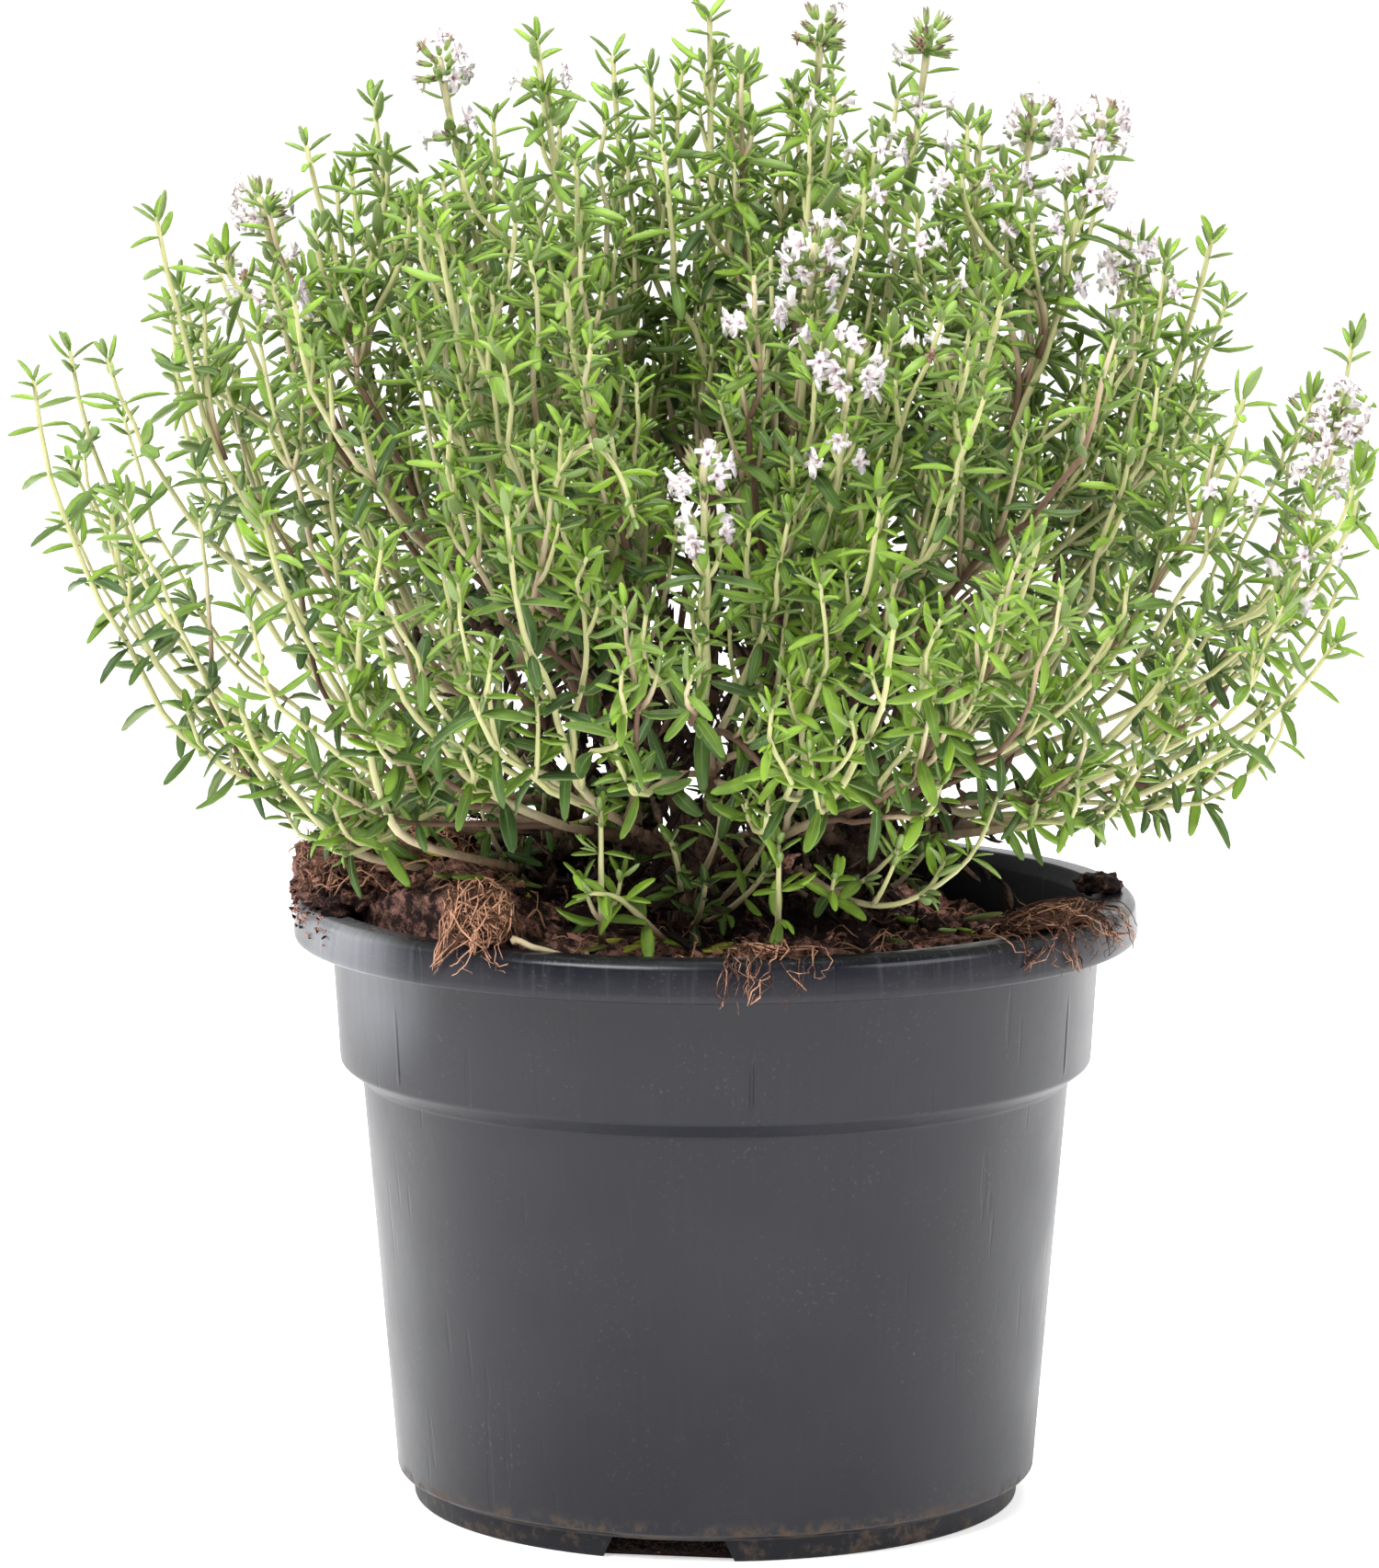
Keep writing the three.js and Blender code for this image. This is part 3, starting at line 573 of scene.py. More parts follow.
def makePot():
    plan = potPlan
    section = bpy.data.meshes.new("pot")
    places = [(radius * mm, 0, height * mm) for radius, height in plan["section"]]
    section.from_pydata(places, [(i, i + 1) for i in range(len(places) - 1)], [])
    pot = bpy.data.objects.new("nursery_pot", section)
    bpy.context.collection.objects.link(pot)
    pick(pot)
    bpy.ops.object.mode_set(mode="EDIT")
    bpy.ops.mesh.select_all(action="SELECT")
    bpy.ops.mesh.bevel(offset=plan["rounding"] * mm, segments=3, affect="VERTICES")
    bpy.ops.mesh.select_all(action="SELECT")
    bpy.ops.mesh.spin(steps=plan["steps"], angle=math.tau, center=(0, 0, 0), axis=(0, 0, 1))
    bpy.ops.object.mode_set(mode="OBJECT")
    closeSeams(pot, 0.01)
    for vertex in pot.data.vertices:
        height = vertex.co.z / mm
        radius = vertex.co.xy.length / mm
        if height > plan["wavyAbove"] and radius > plan["wavyOutside"]:
            wave = noise.noise(Vector((vertex.co.x, vertex.co.y, vertex.co.z * 0.6)) * plan["waves"])
            vertex.co.xy *= 1 + plan["waviness"] * wave / radius
    cutters = []
    for bearing in plan["notches"]:
        deselectAll()
        bpy.ops.mesh.primitive_cube_add(
            size=1,
            location=onBearing(bearing, plan["notchReach"] * mm, 0),
            rotation=(0, 0, math.radians(bearing) + math.pi / 2),
            scale=[side * mm for side in plan["notchSize"]],
        )
        for vertex in bpy.context.object.data.vertices:
            if vertex.co.z < 0:
                vertex.co.x *= plan["notchFlare"]
        cutters.append(bpy.context.object)
    for bearing in plan["drains"]:
        deselectAll()
        bpy.ops.mesh.primitive_cylinder_add(
            vertices=24,
            radius=plan["drainRadius"] * mm,
            depth=plan["drainDepth"] * mm,
            location=onBearing(bearing, plan["drainCircle"] * mm, plan["drainDepth"] * mm / 2),
        )
        cutters.append(bpy.context.object)
    cutAway(pot, joinPieces("cutter", cutters))
    pick(pot)
    bpy.ops.object.shade_smooth_by_angle(angle=math.radians(plan["smoothAngle"]))
    for material in (plastic, shadedInside, plasticFoot):
        pot.data.materials.append(material)
    for face in pot.data.polygons:
        isInner = face.normal.xy.dot(face.center.xy.normalized()) < -0.3
        if isInner and face.center.z > plan["innerFloor"] * mm:
            face.material_index = 1
        elif face.center.z < plan["footTop"] * mm:
            face.material_index = 2
    finishPiece("nursery_pot", [pot], "pot")


makePot()
print("pot is turned")


# rods: every stem, root and fibre is a line with a thickness at each point, given as a bevelled curve

def drawRods(name, rods, material, sides=6):
    deselectAll()
    bpy.ops.curve.primitive_nurbs_path_add(location=(0, 0, 0))
    piece = bpy.context.object
    piece.name = name
    curve = piece.data
    curve.splines.clear()
    curve.bevel_depth = mm
    curve.bevel_resolution = (sides - 4) // 2
    curve.use_fill_caps = True
    for points, radii, tones in rods:
        spline = curve.splines.new("POLY")
        spline.points.add(len(points) - 1)
        for corner, place, radius in zip(spline.points, points, radii):
            corner.co = (*(place * mm), 1)
            corner.radius = radius
    pick(piece)
    bpy.ops.object.convert(target="MESH")
    closeSeams(piece)
    tree = KDTree(sum(len(points) for points, radii, tones in rods))
    known = []
    for points, radii, tones in rods:
        for place, tone in zip(points, tones):
            tree.insert(place * mm, len(known))
            known.append(tone)
    tree.balance()
    addTones(piece.data, [known[tree.find(vertex.co)[1]] for vertex in piece.data.vertices])
    piece.data.shade_smooth()
    piece.data.materials.clear()
    piece.data.materials.append(material)
    return piece


def lengthMarks(points):
    marks = [0.0]
    for first, second in zip(points, points[1:]):
        marks.append(marks[-1] + (second - first).length)
    return marks


def locate(points, marks, distance):
    last = len(marks) - 1
    for i in range(1, last + 1):
        if distance <= marks[i] or i == last:
            share = (distance - marks[i - 1]) / max(marks[i] - marks[i - 1], 1e-6)
            return points[i - 1].lerp(points[i], share), (points[i] - points[i - 1]).normalized()


def bowed(foot, elbow, tip, count):
    shares = [i / (count - 1) for i in range(count)]
    return [foot * (1 - s) ** 2 + elbow * 2 * s * (1 - s) + tip * s * s for s in shares]


# a line that leaves its start along one heading and arrives at its end along another
def swung(start, leaving, end, arriving, count):
    reach = (end - start).length * 0.4
    first, second = start + leaving * reach, end - arriving * reach
    line = []
    for i in range(count):
        s = i / (count - 1)
        near = start * (1 - s) ** 3 + first * 3 * s * (1 - s) ** 2
        line.append(near + second * 3 * s * s * (1 - s) + end * s ** 3)
    return line


# a line that starts along a heading, turns towards another one and wavers on its way
def wander(start, heading, goal, length, turn, waver, count, draw):
    points = [start]
    step = heading.normalized()
    for i in range(count - 1):
        step = (step + goal * turn / count + anyWay(draw) * waver).normalized()
        points.append(points[-1] + step * length / (count - 1))
    return points


# copies of a small model, put into one mesh: each copy has its place, its bend and its tone

def readModel(piece):
    mesh = piece.data
    corners = np.array([vertex.co for vertex in mesh.vertices])
    faces = [list(face.vertices) for face in mesh.polygons]
    uvs = np.array([loop.uv for loop in mesh.uv_layers.active.data])
    bpy.data.objects.remove(piece)
    return {"corners": corners, "faces": faces, "uvs": uvs}


def placeCopies(name, model, copies, material):
    corners, faces, tones = [], [], []
    count = len(model["corners"])
    for matrix, bend, sway, tone in copies:
        local = model["corners"].copy()
        local[:, 1] += sway * local[:, 0] ** 2
        local[:, 2] += bend * local[:, 0] ** 2
        turned = local @ np.array(matrix.to_3x3()).T + np.array(matrix.translation)
        base = len(corners) * count
        corners.append(turned * mm)
        faces.extend([[base + corner for corner in face] for face in model["faces"]])
        tones.append(tone)
    mesh = bpy.data.meshes.new(name)
    mesh.from_pydata(np.concatenate(corners).tolist(), [], faces)
    mesh.uv_layers.new(name="UVMap").data.foreach_set("uv", np.tile(model["uvs"].ravel(), len(copies)))
    addTones(mesh, np.repeat(tones, count))
    mesh.shade_smooth()
    mesh.materials.append(material)
    piece = bpy.data.objects.new(name, mesh)
    bpy.context.collection.objects.link(piece)
    return piece


# stands a copy at a place, with its length along a heading and its upper face towards another
def standing(place, heading, upperFace, length, width, thickness):
    along = heading.normalized()
    sideways = upperFace.cross(along)
    if sideways.length < 1e-4:
        sideways = Vector((1, 0, 0)).cross(along)
    sideways.normalize()
    above = along.cross(sideways)
    turn = Matrix((along * length, sideways * width, above * thickness)).transposed().to_4x4()
    turn.translation = place
    return turn


# the leaf, modelled once: a long drop with a groove along its rib and its edges rolled under

leafPlan = {
    "halfWidth": 0.5,
    "rib": 0.12,       # heights are shares of the leaf's thickness
    "shoulder": 0.42,
    "edge": -0.1,
    "rolled": -0.42,
    "keel": -0.5,
    "outline": 0.94,   # below 1 the leaf is fuller towards its ends
    "stalk": 0.45,     # how much of its width is left at its foot
}


def modelLeaf(segments, rings):
    plan = leafPlan
    deselectAll()
    bpy.ops.mesh.primitive_uv_sphere_add(segments=segments, ring_count=rings, radius=0.5, location=(0, 0, 0))
    leaf = bpy.context.object
    mesh = leaf.data
    edge = "edge" if segments > 4 else "shoulder"
    heights = {0: edge, 45: "shoulder", 90: "rib", 135: "shoulder", 180: edge, 225: "rolled", 315: "rolled"}
    across, lift = [], []
    for vertex in mesh.vertices:
        x, y, z = vertex.co
        girth = (2 * math.hypot(x, y)) ** plan["outline"] if abs(z) < 0.499 else 0
        angle = round(math.degrees(math.atan2(y, x))) % 360 if girth else 0
        side = math.cos(math.radians(angle)) * plan["halfWidth"]
        height = plan[heights.get(angle, "keel")]
        across.append(0.5 + side if girth else 0.5)
        lift.append(math.sin(math.radians(angle)))
        girth *= blend(plan["stalk"], 1, smoothly(0, 0.35, z + 0.5))
        vertex.co = (z + 0.5, side * girth, height * girth)
    for face in mesh.polygons:
        isUnder = sum(lift[corner] for corner in face.vertices) < 0
        for loop in face.loop_indices:
            corner = mesh.loops[loop].vertex_index
            u = 2 - across[corner] if isUnder else across[corner]
            mesh.uv_layers.active.data[loop].uv = (u, mesh.vertices[corner].co.x)
    closeSeams(leaf)
    return readModel(leaf)


broadLeaf = modelLeaf(8, 6)
youngLeaf = modelLeaf(4, 5)
print("leaves are modelled")


# how a shoot is dressed: pairs of leaves, each turned a quarter from the last, closer and smaller at the tip

shootPlan = {
    "gaps": [0.3, 0.9, 1.8, 3.8, 6.0, 7.8, 9.0, 10.0],  # between pairs, from the tip down
    "length": (4.4, 8.6),
    "width": 0.28,      # of the leaf's length
    "thickness": 0.14,
    "opening": (30, 82),  # degrees between leaf and stem, at the tip and low down
    "opensOver": 6,       # millimetres from the tip to the first wide open pair
    "tufts": 0.55,      # share of the leaves with small leaves in their axil, high on a shoot
    "skipped": 0.3,     # share of the low pairs that have dropped
    "tuftLength": (2.0, 4.2),
    "sideShoots": 0.5,
    "sideShare": (0.25, 0.52),  # a side shoot's length, as a share of the way to the tip
    "sideLimits": (6, 27),
    "sideRadius": 0.45,
    "sideLean": (28, 50),
    "youngBelow": 5,    # a leaf shorter than this is a young one
    "breadths": (0.82, 1.1),    # how leaves differ from each other
    "bend": (0.12, 0.5),
    "sway": 0.22,
    "toneSpread": 0.14,
    "tone": (0.95, 0.15),       # of the leaves, at the tip and low down
    "toneFade": (0, 30),
    "droop": 0.18,              # of the old leaves
    "droopFade": (10, 50),
}


def newSprig(breadth=1):
    return {"rods": [], "broad": [], "young": [], "breadth": breadth}


def sprigParts(sprig):
    return [
        drawRods("stems", sprig["rods"], stemSkin),
        placeCopies("broad", broadLeaf, sprig["broad"], leafSkin),
        placeCopies("young", youngLeaf, sprig["young"], leafSkin),
    ]


def addLeaf(sprig, place, heading, stemHeading, length, tone, droop, draw):
    plan = shootPlan
    along = (heading + Vector((0, 0, draw.uniform(-0.14, 0.06)))).normalized()
    face = stemHeading + up * 0.5
    face += anyWay(draw) * 0.3
    width = length * plan["width"] * sprig["breadth"] * draw.uniform(*plan["breadths"])
    isYoung = length < plan["youngBelow"]
    matrix = standing(place, along, face, length, width, length * plan["thickness"])
    bend = draw.uniform(*plan["bend"]) * draw.choice([-1, -1, 1]) * (0.6 if isYoung else 1) - droop
    sway = draw.uniform(-plan["sway"], plan["sway"]) / plan["width"]
    tone += draw.uniform(-plan["toneSpread"], plan["toneSpread"])
    leaf = (matrix, bend / plan["thickness"], sway, tone)
    sprig["young" if isYoung else "broad"].append(leaf)


def addTuft(sprig, place, heading, sideways, second, angle, opening, tone, vigour, draw):
    for i in range(draw.randint(1, 2) * 2):
        swing = angle + draw.uniform(-0.9, 0.9)
        lean = opening * draw.uniform(0.35, 0.8)
        beside = tilted(sideways, second, swing)
        small = tilted(heading, beside, lean)
        size = draw.uniform(*shootPlan["tuftLength"]) * blend(0.85, 1.05, vigour)
        start = place + heading * draw.uniform(0, 1) + beside * 0.5
        addLeaf(sprig, start, small, heading, size, tone + 0.25, 0, draw)


def dressShoot(sprig, points, bare, vigour, freshness, draw):
    plan = shootPlan
    marks = lengthMarks(points)
    total = marks[-1]
    across = Vector((draw.uniform(-1, 1), draw.uniform(-1, 1), 0.1))
    turn = draw.uniform(0, math.pi)
    fromTip = 0.0
    rank = 0
    joints = []
    while True:
        gap = plan["gaps"][min(rank, len(plan["gaps"]) - 1)]
        fromTip += gap * draw.uniform(0.85, 1.2) * (1 if rank < 3 else blend(0.75, 1.1, vigour))
        if total - fromTip < bare:
            break
        place, heading = locate(points, marks, total - fromTip)
        sideways = (across - heading * across.dot(heading)).normalized()
        second = heading.cross(sideways)
        opening = blend(*plan["opening"], min(1, fromTip / plan["opensOver"]))
        opening = math.radians(opening + draw.uniform(-12, 12))
        length = blend(*plan["length"], smoothly(-4, 15, fromTip)) * vigour
        tone = blend(*plan["tone"], smoothly(*plan["toneFade"], fromTip)) * freshness
        droop = plan["droop"] * smoothly(*plan["droopFade"], fromTip)
        share = fromTip / total
        isDropped = draw.random() < plan["skipped"] * smoothly(0.5, 0.8, share)
        tufted = plan["tufts"] * blend(1, 0.4, smoothly(0.3, 0.85, share)) * thinning(place)
        for side in (0, math.pi):
            angle = turn + side + draw.uniform(-0.25, 0.25)
            outward = tilted(sideways, second, angle)
            leaning = tilted(heading, outward, opening)
            if not isDropped:
                addLeaf(sprig, place, leaning, heading, length * draw.uniform(0.8, 1.1), tone, droop, draw)
            if fromTip > 6 and draw.random() < tufted:
                addTuft(sprig, place, heading, sideways, second, angle, opening, tone, vigour, draw)
            joints.append((fromTip, place, heading, outward))
        turn += math.pi / 2
        rank += 1
    return joints


# the bush's outline: side shoots end inside it

bushPlan = {
    "middle": Vector((0, 0, 98)),
    "reach": Vector((105, 88, 132)),
    "fullness": 2.6,  # 2 is an ellipsoid, and more is boxier
    "rimHeight": 98,
    "waist": 60,      # how far out the leaves reach at the height of the rim
    "flare": 1.0,     # how much further out for each millimetre up
    "depthShare": 1.18,
    "thinLeft": (40, 92),   # how far out the bush begins to be thinner, and where it is thinnest
    "thinRight": (77, 97),
    "thinned": 0.9,
}


def isInside(place):
    plan = bushPlan
    away = place - plan["middle"]
    share = sum(abs(part / most) ** plan["fullness"] for part, most in zip(away, plan["reach"]))
    skirt = plan["waist"] + (place.z - plan["rimHeight"]) * plan["flare"]
    isAbove = place.z > plan["rimHeight"]
    return isAbove and share < 1 and math.hypot(place.x, place.y * plan["depthShare"]) < skirt


def thinning(place):
    plan = bushPlan
    left, right = smoothly(*plan["thinLeft"], -place.x), smoothly(*plan["thinRight"], place.x)
    return 1 - plan["thinned"] * max(left, right)


def addSideShoots(sprig, joints, total, freshness, woodyShare, bare, draw):
    plan = shootPlan
    for fromTip, place, heading, outward in joints:
        chance = plan["sideShoots"] * (1.3 - 2.2 * bare) * thinning(place)
        if fromTip < 13 or fromTip > total * 0.86 or draw.random() > chance:
            continue
        length = fromTip * draw.uniform(*plan["sideShare"])
        length = min(max(length, plan["sideLimits"][0]), plan["sideLimits"][1]) * draw.uniform(0.8, 1.1)
        first = tilted(heading, outward, math.radians(draw.uniform(*plan["sideLean"])))
        goal = (up * 0.9 + heading * 0.3).normalized()
        points = wander(place, first, goal, length, 2.0, 0.06, 7, draw)
        if not isInside(points[-1]):
            points = wander(place, first, goal, length * 0.6, 2.0, 0.06, 7, draw)
            if not isInside(points[-1]):
                continue
        radii = [plan["sideRadius"] * blend(1, 0.62, i / 6) for i in range(7)]
        woody = blend(0.25, 0.8, smoothly(woodyShare - 0.1, woodyShare + 0.4, 1 - fromTip / total))
        sprig["rods"].append((points, radii, [min(1, woody + 0.14 * i) for i in range(7)]))
        dressShoot(sprig, points, 2.5, draw.uniform(0.72, 0.96), freshness, draw)


# a leafy stem: the stem from its foot to its tip, long side stems low down and short shoots above

stemPlan = {
    "points": 18,
    "reach": 105,       # of the outermost tips from the axis
    "footShare": 0.36,
    "innerFoot": 127,
    "outerFoot": 101,
    "footRadius": 0.88,
    "tipRadius": 0.46,
    "waver": 2.0,
    "twins": (8, 5),    # long side stems that end near each stem's own tip, in the middle and outside
    "twinOffset": (6, 25),
    "twinDrop": ((0, 48), (-4, 22)),
    "twinStart": (0.02, 0.42),
    "brownShare": 0.3,  # of the side stems
    "brown": (0.45, 0.85),
    "slender": 0.78,    # how thick the outermost stems are, beside the middle ones
    "bare": (0.14, 0.38),   # share of a stem without leaves, in the middle and outside
    "twinRadius": (0.64, 0.36),
    "twinWaver": 2.4,
    "tips": {
        "left": [
            (-101, -34, 176), (-98, -6, 178), (-84, -16, 199), (-66, -59, 159), (-62, -5, 209),
            (-41, -43, 199), (-27, -9, 225), (-68, -38, 124),
        ],
        "front": [
            (-49, -72, 146), (-30, -82, 162), (-22, -52, 192), (-2, -71, 164), (19, -57, 178),
            (14, -36, 193), (25, -84, 146),
        ],
        "right": [
            (46, -69, 156), (70, -48, 140), (42, -36, 188), (79, -20, 172), (94, -12, 142),
            (95, 6, 165), (58, 4, 209),
        ],
        "back_right": [
            (100, 32, 176), (77, 22, 193), (65, 44, 186), (49, 28, 208), (33, 34, 221),
            (16, 15, 223), (64, 68, 150), (24, 85, 150), (14, 58, 194),
        ],
        "back_left": [
            (-1, 8, 228), (-16, 30, 221), (-42, 16, 218), (-70, 24, 196), (-86, 42, 172),
            (-58, 70, 150), (-22, 85, 148), (-24, 58, 190),
        ],
    },
    "flowering": [12, 13, 14, 21, 22, 25, 26, 27, 28, 34, 35],  # the stems that end in a flower head
}


def stemLine(tip):
    plan = stemPlan
    end = Vector(tip)
    spread = min(end.xy.length / plan["reach"], 1)
    low = blend(plan["innerFoot"], plan["outerFoot"], spread ** 1.5)
    foot = Vector((end.x * plan["footShare"], end.y * plan["footShare"], low))
    bow = 0.04 + 0.34 * spread ** 2
    elbow = foot + (end - foot) * (0.5 + bow)
    elbow.z = blend(foot.z, end.z, 0.5 - bow)
    return foot, elbow, end, spread


def tallLine(tip):
    return bowed(*stemLine(tip)[:3], stemPlan["points"])


axils = []  # where leaves meet the stems, for the flowers


def growUpright(sprig, points, radii, woodyShare, vigour, freshness, bare, draw):
    woody = (woodyShare - 0.2, woodyShare + 0.35)
    last = len(points) - 1
    tones = [blend(0.18, 0.95, smoothly(*woody, i / last)) for i in range(last + 1)]
    sprig["rods"].append((points, radii, tones))
    total = lengthMarks(points)[-1]
    joints = dressShoot(sprig, points, total * bare, vigour, freshness, draw)
    axils.extend((place, heading) for fromTip, place, heading, outward in joints if 2 < fromTip < 40)
    addSideShoots(sprig, joints, total, freshness, woodyShare, bare, draw)


def makeLeafyStem(label, tip, seed):
    plan = stemPlan
    draw = random.Random(seed)
    foot, elbow, end, spread = stemLine(tip)
    points = bowed(foot, elbow, end, plan["points"])
    last = len(points) - 1
    for i in range(1, last):
        ease = math.sin(math.pi * i / last) * plan["waver"]
        points[i] += noise.noise_vector(points[i] * 0.07 + Vector((seed, 0, 0))) * ease
    woodyShare = 0.42 * (1 - spread) + draw.uniform(0, 0.12)
    slender = blend(1, plan["slender"], smoothly(0.6, 1, spread))
    radii = [blend(plan["footRadius"], plan["tipRadius"], i / last) * slender for i in range(last + 1)]
    freshness = draw.uniform(0.7, 1.1)
    sprig = newSprig()
    outer = smoothly(0.5, 0.95, spread)
    bare = blend(*plan["bare"], outer)
    growUpright(sprig, points, radii, woodyShare, draw.uniform(0.88, 1.04), freshness, bare, draw)
    marks = lengthMarks(points)
    twins = round(blend(*plan["twins"], outer) * blend(1, thinning(end), 0.4))
    for i in range(twins):
        share = blend(*plan["twinStart"], (i + draw.random()) / twins)
        start, heading = locate(points, marks, marks[-1] * share)
        turn = draw.uniform(0, math.tau)
        offset = draw.uniform(*plan["twinOffset"])
        drop = draw.uniform(*plan["twinDrop"][outer > 0.5])
        target = end + Vector((math.cos(turn) * offset, math.sin(turn) * offset, -drop))
        while not isInside(target):
            target = target.lerp(start, 0.06)
        aside = tilted(Vector((1, 0, 0)), Vector((0, 1, 0)), turn)
        leaving = (heading + aside * draw.uniform(0.2, 0.6)).normalized()
        arriving = (up + Vector((target.x, target.y, 0)) * draw.uniform(0.0, 0.006)).normalized()
        twin = swung(start, leaving, target, arriving, 12)
        for k in range(2, 11):
            twin[k] += noise.noise_vector(twin[k] * 0.09 + Vector((seed, i, 0))) * plan["twinWaver"]
        radii = [blend(*plan["twinRadius"], k / 11) * slender for k in range(12)]
        brown = draw.uniform(*plan["brown"]) if draw.random() < plan["brownShare"] else woodyShare - share
        growUpright(sprig, twin, radii, brown, draw.uniform(0.8, 1.0), freshness, bare, draw)
    finishPiece(f"leafy_{label}", sprigParts(sprig), f"stem_{label}")
    return len(sprig["broad"]), len(sprig["young"])


number = 0
leafCount = Vector((0, 0))
for plant, tips in stemPlan["tips"].items():
    for tip in tips:
        number += 1
        leafCount += Vector(makeLeafyStem(f"{plant}_{number:02d}", tip, 40 + number))
print("leafy stems are grown with", int(leafCount[0]), "broad and", int(leafCount[1]), "young leaves")


# stems that fill the crown between the tall ones: each leaves the nearest stem and ends at its own tip

crownPlan = {
    "tallFrom": 185,    # the height of the tips that crown stems may branch from
    "forkShare": (0.3, 0.5),  # of the stem's length, down from its tip
    "radius": (0.62, 0.36),
    "bare": 0.2,
    "tips": [
        (-38, -16, 206), (-34, 4, 213), (-30, -28, 202), (-24, 10, 214), (-21, -22, 208), (-36, 26, 205),
        (-28, -4, 198), (-50, 0, 208), (-46, -14, 200), (-52, 20, 205), (-62, -14, 190), (-68, 6, 188),
        (14, -14, 212), (18, 4, 216), (24, -8, 210), (22, -26, 204), (31, 2, 212), (37, -8, 205),
        (30, -22, 200), (44, 6, 205), (41, 18, 210), (48, -6, 198), (28, 16, 216), (40, -24, 190),
        (-75, 2, 192), (-77, -14, 185), (-60, -20, 197), (-58, 8, 202), (-84, 10, 184), (38, -2, 212),
    ],
}


def makeCrown(seed):
    plan = crownPlan
    draw = random.Random(seed)
    sprig = newSprig()
    tallTips = [tip for tips in stemPlan["tips"].values() for tip in tips if tip[2] > plan["tallFrom"]]
    for tip in plan["tips"]:
        target = Vector(tip)
        nearest = min(tallTips, key=lambda other: (Vector(other) - target).xy.length)
        points = tallLine(nearest)
        marks = lengthMarks(points)
        start, heading = locate(points, marks, marks[-1] * (1 - draw.uniform(*plan["forkShare"])))
        arriving = (up + Vector((target.x, target.y, 0)) * draw.uniform(0.0, 0.004)).normalized()
        line = swung(start, heading, target, arriving, 12)
        radii = [blend(*plan["radius"], k / 11) for k in range(12)]
        woodyShare = draw.uniform(0.0, 0.3)
        vigour, freshness = draw.uniform(0.85, 1.0), draw.uniform(0.7, 1.1)
        growUpright(sprig, line, radii, woodyShare, vigour, freshness, plan["bare"], draw)
    finishPiece("crown_stems", sprigParts(sprig))


makeCrown(390)
print("the crown is filled")


# flowers: each has a green and purple cup, and a white tube with a lower lip of three lobes and an upper one

flowerPlan = {
    "petalSteps": 16,
    "petalReach": [1.6, 1.9, 1.4, 0.65, 2.0, 2.1, 0.9, 2.1, 2.4],  # from the upper lip round to the lower one
    "petalLift": [1.0, 0.7, 0.5, 0.0, -0.1, -0.3, 0.1, -0.5, -0.9],  # how far each of them leans forward
    # place along it and girth
    "petalRings": [(0.0, 0.0), (0.4, 0.32), (2.2, 0.7), (2.9, 1.0), (2.2, 0.36), (1.5, 0.0)],
    "cupSteps": 8,
    "cupRings": [(0.0, 0.0), (0.35, 0.4), (1.3, 0.58), (1.9, 0.66), (1.5, 0.0)],
    "cupTeeth": (0.75, 0.9),
    "toothLength": 1.5,
    "levels": [(7, 88), (5, 60), (4, 28)],  # how many in each ring of a head, and how far they lean out
    "coreRadius": 1.1,
    "size": (0.84, 1.08),
    "budSize": 0.55,
    "flare": 3,  # the ring of a model that opens into lobes or teeth
    "apart": {  # more flowers between the leaves: across, depth and height of a cluster, and how many whorls
        "middle": [
            (20, -66, 164, 1), (22, -61, 176, 1), (20, -58, 184, 1), (8, -58, 188, 1), (28, -52, 180, 1),
            (14, -53, 196, 1), (-1, -60, 184, 1), (-6, -62, 157, 1),
        ],
        "crown": [
            (27, -40, 208, 1), (34, -34, 210, 1), (31, -46, 198, 1), (40, -43, 198, 1), (23, -28, 219, 1),
            (51, -33, 200, 1), (-33, -25, 218, 1), (63, -29, 192, 1), (40, 8, 218, 1), (30, -20, 216, 1),
            (47, -30, 207, 1), (20, -30, 211, 1), (44, -28, 192, 1), (57, -22, 204, 1), (56, -30, 193, 1),
            (37, -25, 203, 1),
        ],
        "sides": [
            (-71, -19, 190, 2), (-68, -30, 186, 2), (95, 0, 167, 2), (89, -15, 163, 2), (83, -33, 155, 2),
            (91, -20, 154, 1), (86, -34, 145, 1), (20, 62, 180, 2), (52, 55, 172, 2), (-38, 55, 186, 1),
            (66, 40, 190, 2),
        ],
    },
    "apartCount": (2, 4),
    "depthWeight": 0.25,
    "viewSlope": 0.13,
    "bracts": 6,
    "whorlGap": 9.5,
    "whorlCount": (2, 5),
    "whorlLean": 70,
    "openness": [0.3, 0.75, 0.75, 0.65, 0.75, 0.65, 0.8, 0.3, 0.25, 0.4, 0.7],  # share of each head
    "stamens": 2,
}


# turns a sphere's rings into the rings of a plan, with the poles along X
def modelFromRings(segments, rings, reachAt):
    deselectAll()
    last = len(rings) - 1
    bpy.ops.mesh.primitive_uv_sphere_add(segments=segments, ring_count=last, radius=1, location=(0, 0, 0))
    model = bpy.context.object
    for vertex in model.data.vertices:
        x, y, z = vertex.co
        ring = round(math.acos(max(-1, min(1, -z))) / math.pi * last)
        along, girth = rings[ring]
        step = round(math.atan2(y, x) / math.tau * segments) % segments
        share, lift = reachAt(ring, step)
        girth *= share
        along += lift
        angle = step / segments * math.tau
        vertex.co = (along, math.sin(angle) * girth, math.cos(angle) * girth)
    closeSeams(model)
    return readModel(model)


def petalReach(ring, step):
    plan = flowerPlan
    lobe = min(step, plan["petalSteps"] - step)
    return (plan["petalReach"][lobe], plan["petalLift"][lobe]) if ring == plan["flare"] else (1, 0)


def cupReach(ring, step):
    if ring != flowerPlan["flare"]:
        return 1, 0
    return flowerPlan["cupTeeth"][step % 2], flowerPlan["toothLength"] * (step % 2 == 0)


